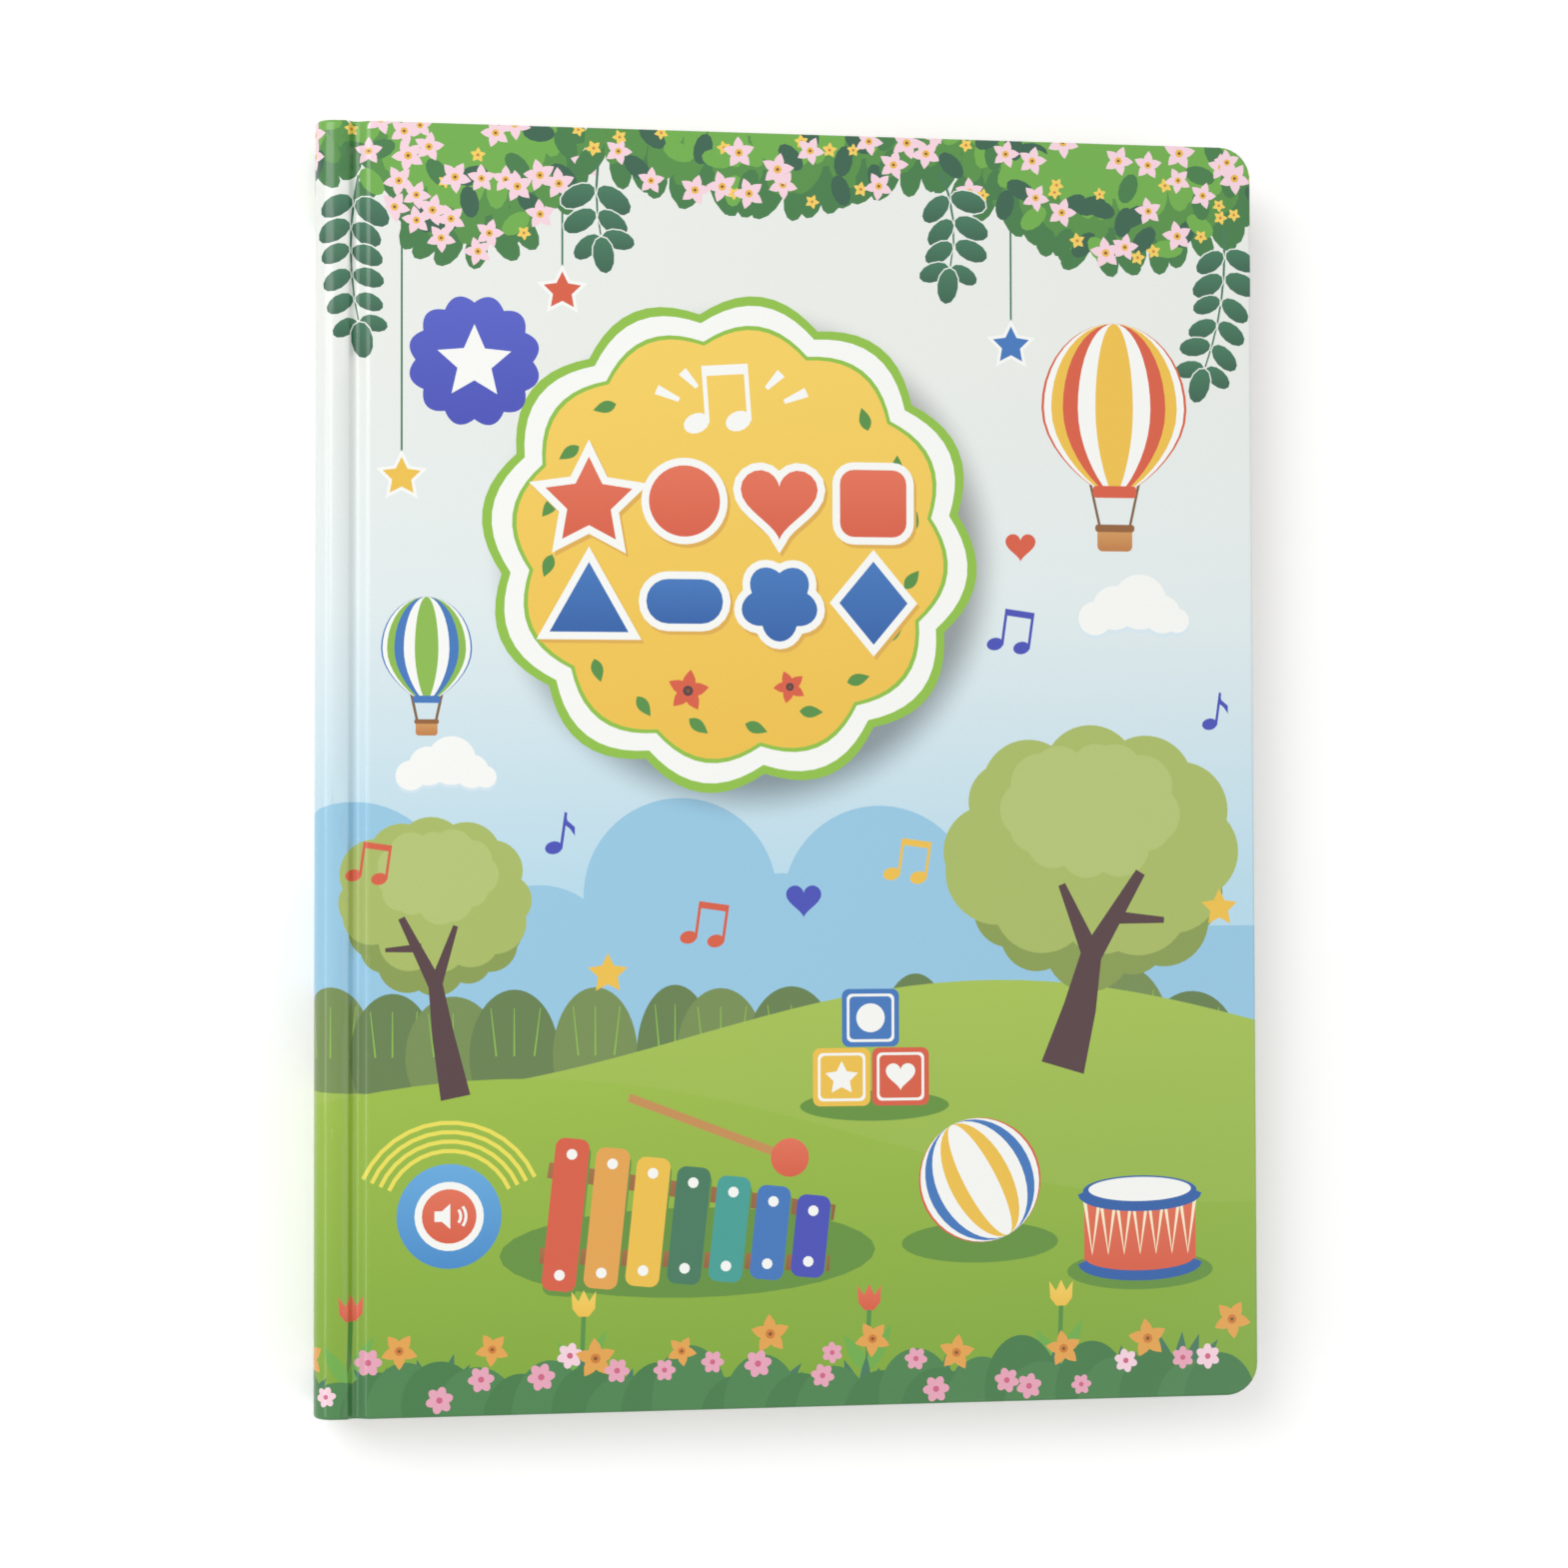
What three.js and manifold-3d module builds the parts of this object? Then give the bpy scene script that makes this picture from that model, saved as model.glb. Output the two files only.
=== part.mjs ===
// Children's sound book, closed and lying on its back cover. Millimetres.
// +Z runs up through the front cover, +Y towards the head, and the spine is at -X.
// The origin is under the middle of the closed book, on the surface that it lies on.

import * as THREE from 'three';
import { mergeVertices } from 'three/addons/utils/BufferGeometryUtils.js';
import Module from 'manifold-3d';

const wasm = await Module();
wasm.setup();

// Overall size and general fits
const bookWidth = 213; // spine to fore-edge
const bookHeight = 286; // tail to head
const seat = 0.3; // clearance between pieces that touch
const through = 1; // how far a cutting tool runs past a face
const arcSteps = 6; // steps of a quarter arc on an outline
const roundSteps = 3; // steps of a rounded board edge
const turnSteps = 28; // sides of a round part
const holeSides = 10; // sides of a grille hole
const shankSides = 16; // sides of a screw or plunger

// Case: two covered boards and a flat spine with rounded shoulders
const coverBoard = 2.6;
const coverEdgeRound = 0.8;
const coverCorner = 7.3; // fore-edge corners
const hingeCorner = 1;
const spineBoard = 2.4;
const shoulderRadius = 4.5;
const grooveStart = 7; // each of these three is taken from the outside of the spine
const grooveValley = 8.8;
const boardStart = 12.2;
const grooveDepth = 1.6;
const grooveSteps = 8; // steps down one side of the groove

// Page block: thick card leaves, glued at the spine
const leafCount = 6;
const leafThickness = 1;
const leafSplit = 0.22; // the line that shows between two leaves
const leafSplitDepth = 0.8;
const leafSquare = 3; // how far the leaves stand back from the cover's edges
const leafCorner = 5.5;
const backClearance = 0.9; // hollow between the spine board and the leaves' backs

// Spacer board that surrounds the sound module
const spacerThickness = 7.8;
const windowClearance = 0.4;
const tailChannel = 12;
const tailChannelDepth = 3.2;

// Sound module: a tub that looks out through the back cover, under a lid
const moduleForeInset = 15.5; // from the cover's fore-edge
const moduleTailInset = 25; // from the cover's tail
const flangeWidth = 7;
const moduleCorner = 4;
const contentMargin = 0.7; // between the tub's wall and what stands along it
const panelRecess = 0.6; // below the back cover's face
const panelWall = 1.4;
const flangeThickness = 2;
const lidWall = 1.2;

// Speaker, face down behind its grille
const speakerY = 3; // above the module's middle
const speakerBayGap = 3.2;
const speakerRadius = 14;
const speakerRim = 1;
const speakerBasket = 3.2; // from the rim to the basket's top
const speakerThroat = 7.6;
const basketWall = 0.8;
const magnetRadius = 6.8;
const magnetHeight = 1.1;
const coneWall = 0.3;
const coneEdge = 2.3; // from the speaker's rim in to the cone
const coneRoll = 1; // flat band round the cone
const coneDip = 1.6;
const capRadius = 4;
const grilleRings = 4;
const grilleHole = 0.9;
const grillePitch = 2.9;

// Battery bay: three flat button cells under a screwed door
const cellCount = 3;
const cellRadius = 5.8;
const cellHeight = 5.4;
const cellStep = 0.5; // step round the cell's negative end
const cellPitch = 12.6;
const cellClearance = 0.7;
const bayWall = 2.2;
const bayHeight = 5.6; // of the bay's wall above the panel
const doorLip = 1.4; // how far the door reaches under the bay's wall
const doorThickness = 1.1;
const contactThickness = 0.3;
const contactWidth = 7;
const contactReach = 2; // of a contact's arm past the circuit board's edge
const doorScrewSpace = 7.4;
const doorScrewRadius = 1;
const doorScrewHead = 1.9;
const doorScrewHeadHeight = 0.4;
const doorScrewLength = 4.6;
const driverSlot = 0.5;
const driverSlotDepth = 0.25;

// Circuit board and the controls on it
const circuitOverhang = 2.5; // past the middle of the first cell
const circuitBayGap = 8.4;
const circuitHeight = 20;
const circuitThickness = 1;
const circuitLevel = 4.4; // above the panel's inner face
const postRadius = 1.6;
const chipX = 6.5; // this and the places below are from the board's middle
const chipY = 3.5;
const chipRadius = 3.6;
const chipHeight = 1.1;
const switchX = -9;
const switchBodyWidth = 9;
const switchBodyDepth = 4;
const switchBodyHeight = 2.4;
const switchTravel = 2.5;
const knobWidth = 3;
const knobDepth = 2;
const knobFlangeWidth = 6.2;
const knobFlangeHeight = 0.6;
const knobFlangeMargin = 0.9;
const buttonX = 9;
const buttonRadius = 2.6;
const buttonFlange = 3.6;
const buttonFlangeHeight = 0.5;
const buttonTravel = 0.4;
const controlReach = 0.3; // how far a control stays above the surface under the book
const controlGap = 0.35; // all round a control in its opening
const tactBody = 6;
const tactBodyHeight = 1.6;
const tactGap = 0.2; // left under the switch when the button is pressed

// Fasteners and leads
const lidScrewInset = 3.6;
const lidScrewRadius = 1;
const lidScrewHead = 2;
const lidScrewHeadHeight = 1.2;
const lidScrewSink = 0.4;
const lidBoss = 2.9;
const tailThickness = 0.3;
const tailWidth = 10;
const tailOverlap = 4; // of the tail on the circuit board
const tailY = 13;
const leadRadius = 0.45;
const leadSides = 8;
const leadSteps = 10;
const leadDrop = 1.1; // between the lead's two ends and the speaker's rim and board
const leadInsets = [8.5, 5.5]; // of the leads, from the speaker's upper rim

// Levels, counted up from the surface under the book
const spacerBottom = coverBoard + seat;
const spacerTop = spacerBottom + spacerThickness;
const leavesBottom = spacerTop + seat;
const blockThickness = leafCount * leafThickness + (leafCount - 1) * leafSplit;
const leavesTop = leavesBottom + blockThickness;
const frontCoverBottom = leavesTop + seat;
const bookThickness = frontCoverBottom + coverBoard;

// Outline of the case and of the leaves
const spineX = -bookWidth / 2;
const foreX = bookWidth / 2;
const tailEdge = -bookHeight / 2;
const headEdge = bookHeight / 2;
const boardX = spineX + boardStart;
const leafBackX = spineX + spineBoard + backClearance;

// Module's outline, from what it holds
const bayLength = cellPitch * (cellCount - 1) + 2 * (cellRadius + cellClearance);
const bayDepth = 2 * (cellRadius + cellClearance);
const bayRim = bayWall - doorLip; // of the bay's wall past the door
const bayBlockLength = bayLength + doorLip + doorScrewSpace + 2 * bayRim;
const bayBlockDepth = bayDepth + 2 * bayWall;
const panelWidth = 2 * (panelWall + contentMargin) + 2 * speakerRadius + speakerBayGap + bayBlockLength;
const panelHeight = 2 * (panelWall + contentMargin) + bayBlockDepth + circuitBayGap + circuitHeight;
const moduleWidth = panelWidth + 2 * flangeWidth;
const moduleHeight = panelHeight + 2 * flangeWidth;
const moduleX = foreX - moduleForeInset - moduleWidth / 2;
const moduleY = tailEdge + moduleTailInset + moduleHeight / 2;

// Places inside the module
const contentReachX = panelWidth / 2 - panelWall - contentMargin;
const contentReachY = panelHeight / 2 - panelWall - contentMargin;
const speakerMiddleX = moduleX - contentReachX + speakerRadius;
const speakerMiddleY = moduleY + speakerY;
const doorRight = moduleX + contentReachX - bayRim;
const doorScrewX = doorRight - doorScrewSpace / 2;
const bayMiddleX = doorRight - doorScrewSpace - bayLength / 2;
const bayMiddleY = moduleY - contentReachY + bayBlockDepth / 2;
const doorLeft = bayMiddleX - bayLength / 2 - doorLip;
const doorLow = bayMiddleY - bayDepth / 2 - doorLip;
const doorHigh = bayMiddleY + bayDepth / 2 + doorLip;
const firstCellX = bayMiddleX - (cellPitch * (cellCount - 1)) / 2;
const circuitLeft = firstCellX - circuitOverhang;
const circuitWidth = moduleX + contentReachX - circuitLeft;
const circuitMiddleX = circuitLeft + circuitWidth / 2;
const circuitMiddleY = moduleY + contentReachY - circuitHeight / 2;
const knobX = circuitMiddleX + switchX - switchTravel / 2;
const keyX = circuitMiddleX + buttonX;

// Levels inside the module
const panelInner = panelRecess + panelWall;
const flangeTop = spacerBottom + flangeThickness;
const lidBottom = flangeTop + seat;
const lidTop = spacerTop;
const lidInner = lidTop - lidWall;
const circuitBottom = panelInner + circuitLevel;
const circuitTop = circuitBottom + circuitThickness;
const doorTop = panelRecess + doorThickness;
const magnetBottom = panelInner + 2 * seat + speakerRim + speakerBasket;
const tailLevel = magnetBottom + magnetHeight + seat;
const contactLevel = panelInner + seat;
const cellBottom = contactLevel + contactThickness + seat;
const cellTop = cellBottom + cellHeight;

const covered = { color: 0xe6ece6, roughness: 0.28, metalness: 0 };
const card = { color: 0xf1efe8, roughness: 0.6, metalness: 0 };
const greyBoard = { color: 0xa9a49a, roughness: 0.9, metalness: 0 };
const whitePlastic = { color: 0xe9e9e6, roughness: 0.45, metalness: 0 };
const blackPlastic = { color: 0x202224, roughness: 0.5, metalness: 0 };
const steel = { color: 0xb9bcc0, roughness: 0.3, metalness: 1 };
const nickelStrip = { color: 0xc9b98a, roughness: 0.35, metalness: 1 };
const laminate = { color: 0x2f6b45, roughness: 0.5, metalness: 0 };
const paperCone = { color: 0x3a3a3c, roughness: 0.85, metalness: 0 };
const film = { color: 0xdfe6ea, roughness: 0.35, metalness: 0 };
const redLead = { color: 0xb5332c, roughness: 0.5, metalness: 0 };
const blackLead = { color: 0x1d1d1f, roughness: 0.5, metalness: 0 };

const book = new THREE.Group();
book.name = 'sound_book';

// Adds one named piece to the book
function place(name, geometry, finish) {
  const mesh = new THREE.Mesh(geometry, new THREE.MeshStandardMaterial(finish));
  mesh.name = name;
  book.add(mesh);
}

// A closed geometry as a solid that can be joined and cut
function solidOf(geometry) {
  const bare = geometry.clone();
  bare.deleteAttribute('normal');
  bare.deleteAttribute('uv');
  bare.clearGroups();
  const merged = mergeVertices(bare);
  return new wasm.Manifold(new wasm.Mesh({
    numProp: 3,
    vertProperties: new Float32Array(merged.attributes.position.array),
    triVerts: new Uint32Array(merged.index.array),
  }));
}

function geometryOf(solid) {
  const mesh = solid.getMesh();
  const geometry = new THREE.BufferGeometry();
  geometry.setAttribute('position', new THREE.BufferAttribute(new Float32Array(mesh.vertProperties), 3));
  geometry.setIndex(Array.from(mesh.triVerts));
  geometry.computeVertexNormals();
  return geometry;
}

function joined(...geometries) {
  return geometryOf(geometries.map(solidOf).reduce((whole, next) => whole.add(next)));
}

function cut(body, ...tools) {
  return geometryOf(tools.map(solidOf).reduce((left, tool) => left.subtract(tool), solidOf(body)));
}

// A rectangle with its own radius at each corner, counter-clockwise from the lower left
function outline(x0, x1, y0, y1, radii) {
  const [lowerLeft, lowerRight, upperRight, upperLeft] = radii;
  const shape = new THREE.Shape();
  shape.moveTo(x0 + lowerLeft, y0);
  shape.lineTo(x1 - lowerRight, y0);
  shape.absarc(x1 - lowerRight, y0 + lowerRight, lowerRight, -Math.PI / 2, 0);
  shape.lineTo(x1, y1 - upperRight);
  shape.absarc(x1 - upperRight, y1 - upperRight, upperRight, 0, Math.PI / 2);
  shape.lineTo(x0 + upperLeft, y1);
  shape.absarc(x0 + upperLeft, y1 - upperLeft, upperLeft, Math.PI / 2, Math.PI);
  shape.lineTo(x0, y0 + lowerLeft);
  shape.absarc(x0 + lowerLeft, y0 + lowerLeft, lowerLeft, Math.PI, 1.5 * Math.PI);
  return shape;
}

// An outline drawn up from one level to another, with its edges rounded if asked
function slab(shape, bottom, top, round = 0) {
  const geometry = new THREE.ExtrudeGeometry(shape, {
    depth: top - bottom - 2 * round,
    curveSegments: arcSteps,
    bevelEnabled: round > 0,
    bevelThickness: round,
    bevelSize: round,
    bevelOffset: -round,
    bevelSegments: roundSteps,
  });
  geometry.translate(0, 0, bottom + round);
  return geometry;
}

function block(x, y, width, height, bottom, top) {
  const geometry = new THREE.BoxGeometry(width, height, top - bottom);
  geometry.translate(x, y, (bottom + top) / 2);
  return geometry;
}

function disc(x, y, radius, bottom, top, sides = turnSteps) {
  const geometry = new THREE.CylinderGeometry(radius, radius, top - bottom, sides);
  geometry.rotateX(Math.PI / 2);
  geometry.translate(x, y, (bottom + top) / 2);
  return geometry;
}

// A profile of [radius, level] points turned about an upright axis
function turned(x, y, profile) {
  const geometry = new THREE.LatheGeometry(profile.map(([r, z]) => new THREE.Vector2(r, z)), turnSteps);
  geometry.rotateX(Math.PI / 2);
  geometry.translate(x, y, 0);
  return geometry;
}

// A plate centred in the module, with equal corners
function modulePlate(width, height, corner, bottom, top) {
  const shape = outline(moduleX - width / 2, moduleX + width / 2, moduleY - height / 2, moduleY + height / 2,
    [corner, corner, corner, corner]);
  return slab(shape, bottom, top);
}

// Depth of the hinge groove below the cover's face, at a distance from the outside of the spine
function grooveDip(distance) {
  if (distance <= grooveStart || distance >= boardStart) return 0;
  const side = distance < grooveValley ? grooveStart : boardStart;
  const share = (distance - side) / (grooveValley - side);
  return grooveDepth * (0.5 - 0.5 * Math.cos(Math.PI * share));
}

// Half of the spine's outside: from the strip's end, over the groove and round the shoulder
function outerHalf() {
  const points = [];
  const stripEnd = boardStart - seat;
  for (let i = 0; i <= grooveSteps; i += 1) {
    const distance = stripEnd + (grooveValley - stripEnd) * (i / grooveSteps);
    points.push([spineX + distance, bookThickness - grooveDip(distance)]);
  }
  for (let i = 1; i <= grooveSteps; i += 1) {
    const distance = grooveValley + (grooveStart - grooveValley) * (i / grooveSteps);
    points.push([spineX + distance, bookThickness - grooveDip(distance)]);
  }
  for (let i = 0; i <= arcSteps; i += 1) {
    const angle = (Math.PI / 2) * (1 + i / arcSteps);
    points.push([
      spineX + shoulderRadius + shoulderRadius * Math.cos(angle),
      bookThickness - shoulderRadius + shoulderRadius * Math.sin(angle),
    ]);
  }
  return points;
}

// Half of the spine's inside, from the strip's end to the flat of the spine board
function innerHalf() {
  const inner = shoulderRadius - spineBoard;
  const points = [[spineX + boardStart - seat, bookThickness - spineBoard]];
  for (let i = 0; i <= arcSteps; i += 1) {
    const angle = (Math.PI / 2) * (1 + i / arcSteps);
    points.push([
      spineX + shoulderRadius + inner * Math.cos(angle),
      bookThickness - shoulderRadius + inner * Math.sin(angle),
    ]);
  }
  return points;
}

function caseSpine() {
  const mirrored = (points) => points.map(([x, z]) => [x, bookThickness - z]).reverse();
  const outside = [...outerHalf(), ...mirrored(outerHalf())];
  const inside = [...innerHalf(), ...mirrored(innerHalf())].reverse();
  const shape = new THREE.Shape([...outside, ...inside].map(([x, z]) => new THREE.Vector2(x, z)));
  const geometry = new THREE.ExtrudeGeometry(shape, { depth: bookHeight, bevelEnabled: false });
  geometry.rotateX(Math.PI / 2);
  geometry.translate(0, bookHeight / 2, 0);
  return geometry;
}

function coverOutline() {
  return outline(boardX, foreX, tailEdge, headEdge, [hingeCorner, coverCorner, coverCorner, hingeCorner]);
}

function backCover() {
  const board = slab(coverOutline(), 0, coverBoard, coverEdgeRound);
  const window = modulePlate(panelWidth + 2 * windowClearance, panelHeight + 2 * windowClearance,
    moduleCorner, -through, coverBoard + through);
  return cut(board, window);
}

// Outline shared by the leaves and the spacer board, drawn in by an amount on its three open sides
function leafOutline(inset) {
  const corner = leafCorner - inset;
  return outline(leafBackX, foreX - leafSquare - inset, tailEdge + leafSquare + inset,
    headEdge - leafSquare - inset, [hingeCorner, corner, corner, hingeCorner]);
}

function pageBlock() {
  const half = leafThickness / 2;
  const leaves = [slab(leafOutline(leafSplitDepth), leavesBottom + half, leavesTop - half)];
  for (let i = 0; i < leafCount; i += 1) {
    const bottom = leavesBottom + i * (leafThickness + leafSplit);
    leaves.push(slab(leafOutline(0), bottom, bottom + leafThickness));
  }
  return joined(...leaves);
}

function spacerBoard() {
  const board = slab(leafOutline(0), spacerBottom, spacerTop);
  const window = modulePlate(moduleWidth + 2 * windowClearance, moduleHeight + 2 * windowClearance,
    moduleCorner, spacerBottom - through, spacerTop + through);
  const channelStart = leafBackX - through;
  const channel = block((channelStart + moduleX) / 2, moduleY + tailY, moduleX - channelStart, tailChannel,
    spacerTop - tailChannelDepth, spacerTop + through);
  return cut(board, window, channel);
}

// Middle of each battery cell along the bay
function cellPlaces() {
  return Array.from({ length: cellCount }, (_, i) => firstCellX + cellPitch * i);
}

// The four screw places in the module's corners
function lidScrewPlaces() {
  const reachX = moduleWidth / 2 - lidScrewInset;
  const reachY = moduleHeight / 2 - lidScrewInset;
  return [[-1, -1], [1, -1], [1, 1], [-1, 1]].map(([sx, sy]) => [moduleX + sx * reachX, moduleY + sy * reachY]);
}

// Round holes in rings behind the speaker
function grilleHoles() {
  const holes = [disc(speakerMiddleX, speakerMiddleY, grilleHole, panelRecess - through,
    panelInner + through, holeSides)];
  for (let ring = 1; ring < grilleRings; ring += 1) {
    for (let i = 0; i < 6 * ring; i += 1) {
      const angle = (2 * Math.PI * i) / (6 * ring);
      const x = speakerMiddleX + ring * grillePitch * Math.cos(angle);
      const y = speakerMiddleY + ring * grillePitch * Math.sin(angle);
      holes.push(disc(x, y, grilleHole, panelRecess - through, panelInner + through, holeSides));
    }
  }
  return holes;
}

function moduleBase() {
  const tub = joined(
    modulePlate(moduleWidth, moduleHeight, moduleCorner, spacerBottom, flangeTop),
    modulePlate(panelWidth, panelHeight, moduleCorner - windowClearance, panelRecess, flangeTop),
  );
  const hollow = modulePlate(panelWidth - 2 * panelWall, panelHeight - 2 * panelWall, moduleCorner - panelWall,
    panelInner, flangeTop + through);
  const bay = block((doorLeft + doorRight) / 2, bayMiddleY, bayBlockLength, bayBlockDepth,
    panelInner - panelWall / 2, panelInner + bayHeight);
  const posts = [-1, 1].map((side) => disc(circuitMiddleX + side * (circuitWidth / 2 - 2 * postRadius),
    circuitMiddleY + circuitHeight / 2 - 2 * postRadius, postRadius, panelInner - panelWall / 2,
    circuitBottom - seat));
  const shell = joined(cut(tub, hollow), bay, ...posts);
  const doorOpening = block((doorLeft + doorRight) / 2, bayMiddleY, doorRight - doorLeft + 2 * seat,
    doorHigh - doorLow + 2 * seat, panelRecess - through, doorTop + seat);
  const cellBay = block(bayMiddleX, bayMiddleY, bayLength, bayDepth, panelRecess,
    panelInner + bayHeight + through);
  const knobSlot = block(circuitMiddleX + switchX, circuitMiddleY, knobWidth + switchTravel + 2 * controlGap,
    knobDepth + 2 * controlGap, panelRecess - through, panelInner + through);
  const keyHole = disc(keyX, circuitMiddleY, buttonRadius + controlGap, panelRecess - through,
    panelInner + through);
  const contactNotch = block(cellPlaces()[cellCount - 1], bayMiddleY + bayDepth / 2 + bayWall / 2,
    contactWidth / 2 + 2 * seat, bayWall + 2 * seat, panelInner, panelInner + bayHeight + through);
  const doorPilot = disc(doorScrewX, bayMiddleY, doorScrewRadius + seat, panelRecess,
    panelInner + bayHeight + through);
  const lidPilots = lidScrewPlaces().map(([x, y]) => disc(x, y, lidScrewRadius + seat, spacerBottom - through,
    flangeTop + through));
  return cut(shell, doorOpening, cellBay, contactNotch, knobSlot, keyHole, doorPilot, ...lidPilots,
    ...grilleHoles());
}

function moduleLid() {
  const outer = modulePlate(moduleWidth, moduleHeight, moduleCorner, lidBottom, lidTop);
  const hollow = modulePlate(moduleWidth - 2 * lidWall, moduleHeight - 2 * lidWall, moduleCorner - lidWall,
    lidBottom - through, lidInner);
  const bosses = lidScrewPlaces().map(([x, y]) => disc(x, y, lidBoss, lidBottom, lidTop - lidWall / 2));
  const shell = joined(cut(outer, hollow), ...bosses);
  const headLevel = lidTop - lidScrewSink - lidScrewHeadHeight - seat;
  const bores = lidScrewPlaces().flatMap(([x, y]) => [
    disc(x, y, lidScrewRadius + seat, lidBottom - through, lidTop + through),
    disc(x, y, lidScrewHead + seat, headLevel, lidTop + through),
  ]);
  const tailSlot = block(moduleX - moduleWidth / 2, moduleY + tailY, 4 * lidWall, tailWidth + 4 * seat,
    tailLevel - seat, tailLevel + tailThickness + seat);
  return cut(shell, tailSlot, ...bores);
}

// A screw on an upright axis: its head towards one end, with a cross slot in it
function screw(x, y, headOuter, headHeight, headRadius, shankRadius, tip) {
  const down = tip < headOuter ? -1 : 1;
  const underHead = headOuter + down * headHeight;
  const head = disc(x, y, headRadius, Math.min(headOuter, underHead), Math.max(headOuter, underHead),
    shankSides);
  const shank = disc(x, y, shankRadius, Math.min(underHead - down * driverSlotDepth / 2, tip),
    Math.max(underHead - down * driverSlotDepth / 2, tip), shankSides);
  const slotFloor = headOuter + down * driverSlotDepth;
  const slotOut = headOuter - down * through;
  const low = Math.min(slotFloor, slotOut);
  const high = Math.max(slotFloor, slotOut);
  return cut(joined(head, shank), block(x, y, 1.4 * headRadius, driverSlot, low, high),
    block(x, y, driverSlot, 1.4 * headRadius, low, high));
}

function batteryDoor() {
  const shape = outline(doorLeft, doorRight, doorLow, doorHigh, [seat, seat, seat, seat]);
  const door = slab(shape, panelRecess, doorTop);
  const hole = disc(doorScrewX, bayMiddleY, doorScrewRadius + seat, panelRecess - through, doorTop + through);
  const sink = disc(doorScrewX, bayMiddleY, doorScrewHead + seat, panelRecess - through,
    panelRecess + doorScrewHeadHeight + seat);
  const fingerNotch = disc(doorLeft, bayMiddleY, doorLip * 2, panelRecess - through,
    panelRecess + doorThickness / 2);
  return cut(door, hole, sink, fingerNotch);
}

// Flat contact under or over the cells between two places, with an arm to a level at the circuit board if asked
function contact(fromX, toX, bottom, boardLevel = null) {
  const width = Math.abs(toX - fromX) + contactWidth;
  const strip = block((fromX + toX) / 2, bayMiddleY, width, contactWidth, bottom, bottom + contactThickness);
  if (boardLevel === null) return strip;
  const armEnd = circuitMiddleY - circuitHeight / 2 + contactReach;
  const arm = block(fromX, (bayMiddleY + armEnd) / 2, contactWidth / 2, armEnd - bayMiddleY, bottom,
    bottom + contactThickness);
  const foot = block(fromX, armEnd - contactThickness / 2, contactWidth / 2, contactThickness,
    Math.min(boardLevel, bottom), Math.max(boardLevel, bottom + contactThickness));
  return joined(strip, arm, foot);
}

// Basket of the speaker: rim on the panel, walls drawn in to the throat under the magnet
function speakerFrame() {
  const low = panelInner + seat;
  const high = low + speakerRim + speakerBasket;
  return turned(speakerMiddleX, speakerMiddleY, [
    [0, high - basketWall],
    [speakerThroat, high - basketWall],
    [speakerRadius - 3 * basketWall, low + speakerRim],
    [speakerRadius - 3 * basketWall / 2, low],
    [speakerRadius, low],
    [speakerRadius, low + speakerRim],
    [speakerRadius - 2 * basketWall, low + speakerRim],
    [speakerThroat + basketWall, high],
    [0, high],
  ]);
}

function speakerCone() {
  const coneRadius = speakerRadius - coneEdge;
  const low = panelInner + 2 * seat;
  return turned(speakerMiddleX, speakerMiddleY, [
    [0, low + coneDip - capRadius / 8],
    [capRadius, low + coneDip],
    [coneRadius - coneRoll, low],
    [coneRadius, low + coneWall],
    [coneRadius - coneRoll, low + coneWall],
    [capRadius, low + coneDip + coneWall],
    [0, low + coneDip + coneWall - capRadius / 8],
  ]);
}

function speakerMagnet() {
  return disc(speakerMiddleX, speakerMiddleY, magnetRadius, magnetBottom, magnetBottom + magnetHeight);
}

// Lead from the speaker's rim to the circuit board's edge
function speakerLead(inset) {
  const offset = speakerRadius - inset;
  const y = speakerMiddleY + offset;
  const start = speakerMiddleX + Math.sqrt((speakerRadius + seat + leadRadius) ** 2 - offset ** 2);
  const end = circuitMiddleX - circuitWidth / 2 - seat;
  const low = panelInner + seat + leadRadius + speakerRim / 2;
  const high = circuitTop - circuitThickness / 2;
  const middle = (start + end) / 2;
  const path = new THREE.CatmullRomCurve3([
    new THREE.Vector3(start, y, low),
    new THREE.Vector3(start + leadDrop, y + leadDrop / 2, low + leadDrop / 2),
    new THREE.Vector3(middle, y + leadDrop, (low + high) / 2),
    new THREE.Vector3(end - leadDrop, y + leadDrop / 2, high),
    new THREE.Vector3(end, y, high),
  ]);
  const section = new THREE.Shape();
  for (let i = 0; i <= leadSides; i += 1) {
    const angle = (2 * Math.PI * i) / leadSides;
    const x = leadRadius * Math.cos(angle);
    const z = leadRadius * Math.sin(angle);
    if (i === 0) section.moveTo(x, z);
    else section.lineTo(x, z);
  }
  return new THREE.ExtrudeGeometry(section, { steps: leadSteps, extrudePath: path });
}

// Flat film tail: up the leaves' backs, then along the channel to the circuit board
function membraneTail() {
  const backOuter = leafBackX - seat - tailThickness;
  const end = circuitMiddleX - circuitWidth / 2 + tailOverlap;
  const y = moduleY + tailY;
  const run = block((backOuter + end) / 2, y, end - backOuter, tailWidth, tailLevel, tailLevel + tailThickness);
  const rise = block(backOuter + tailThickness / 2, y, tailThickness, tailWidth, tailLevel,
    leavesTop - leafThickness);
  const foot = block(end - tailThickness / 2, y, tailThickness, tailWidth, circuitTop + seat,
    tailLevel + tailThickness);
  return joined(run, rise, foot);
}

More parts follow.
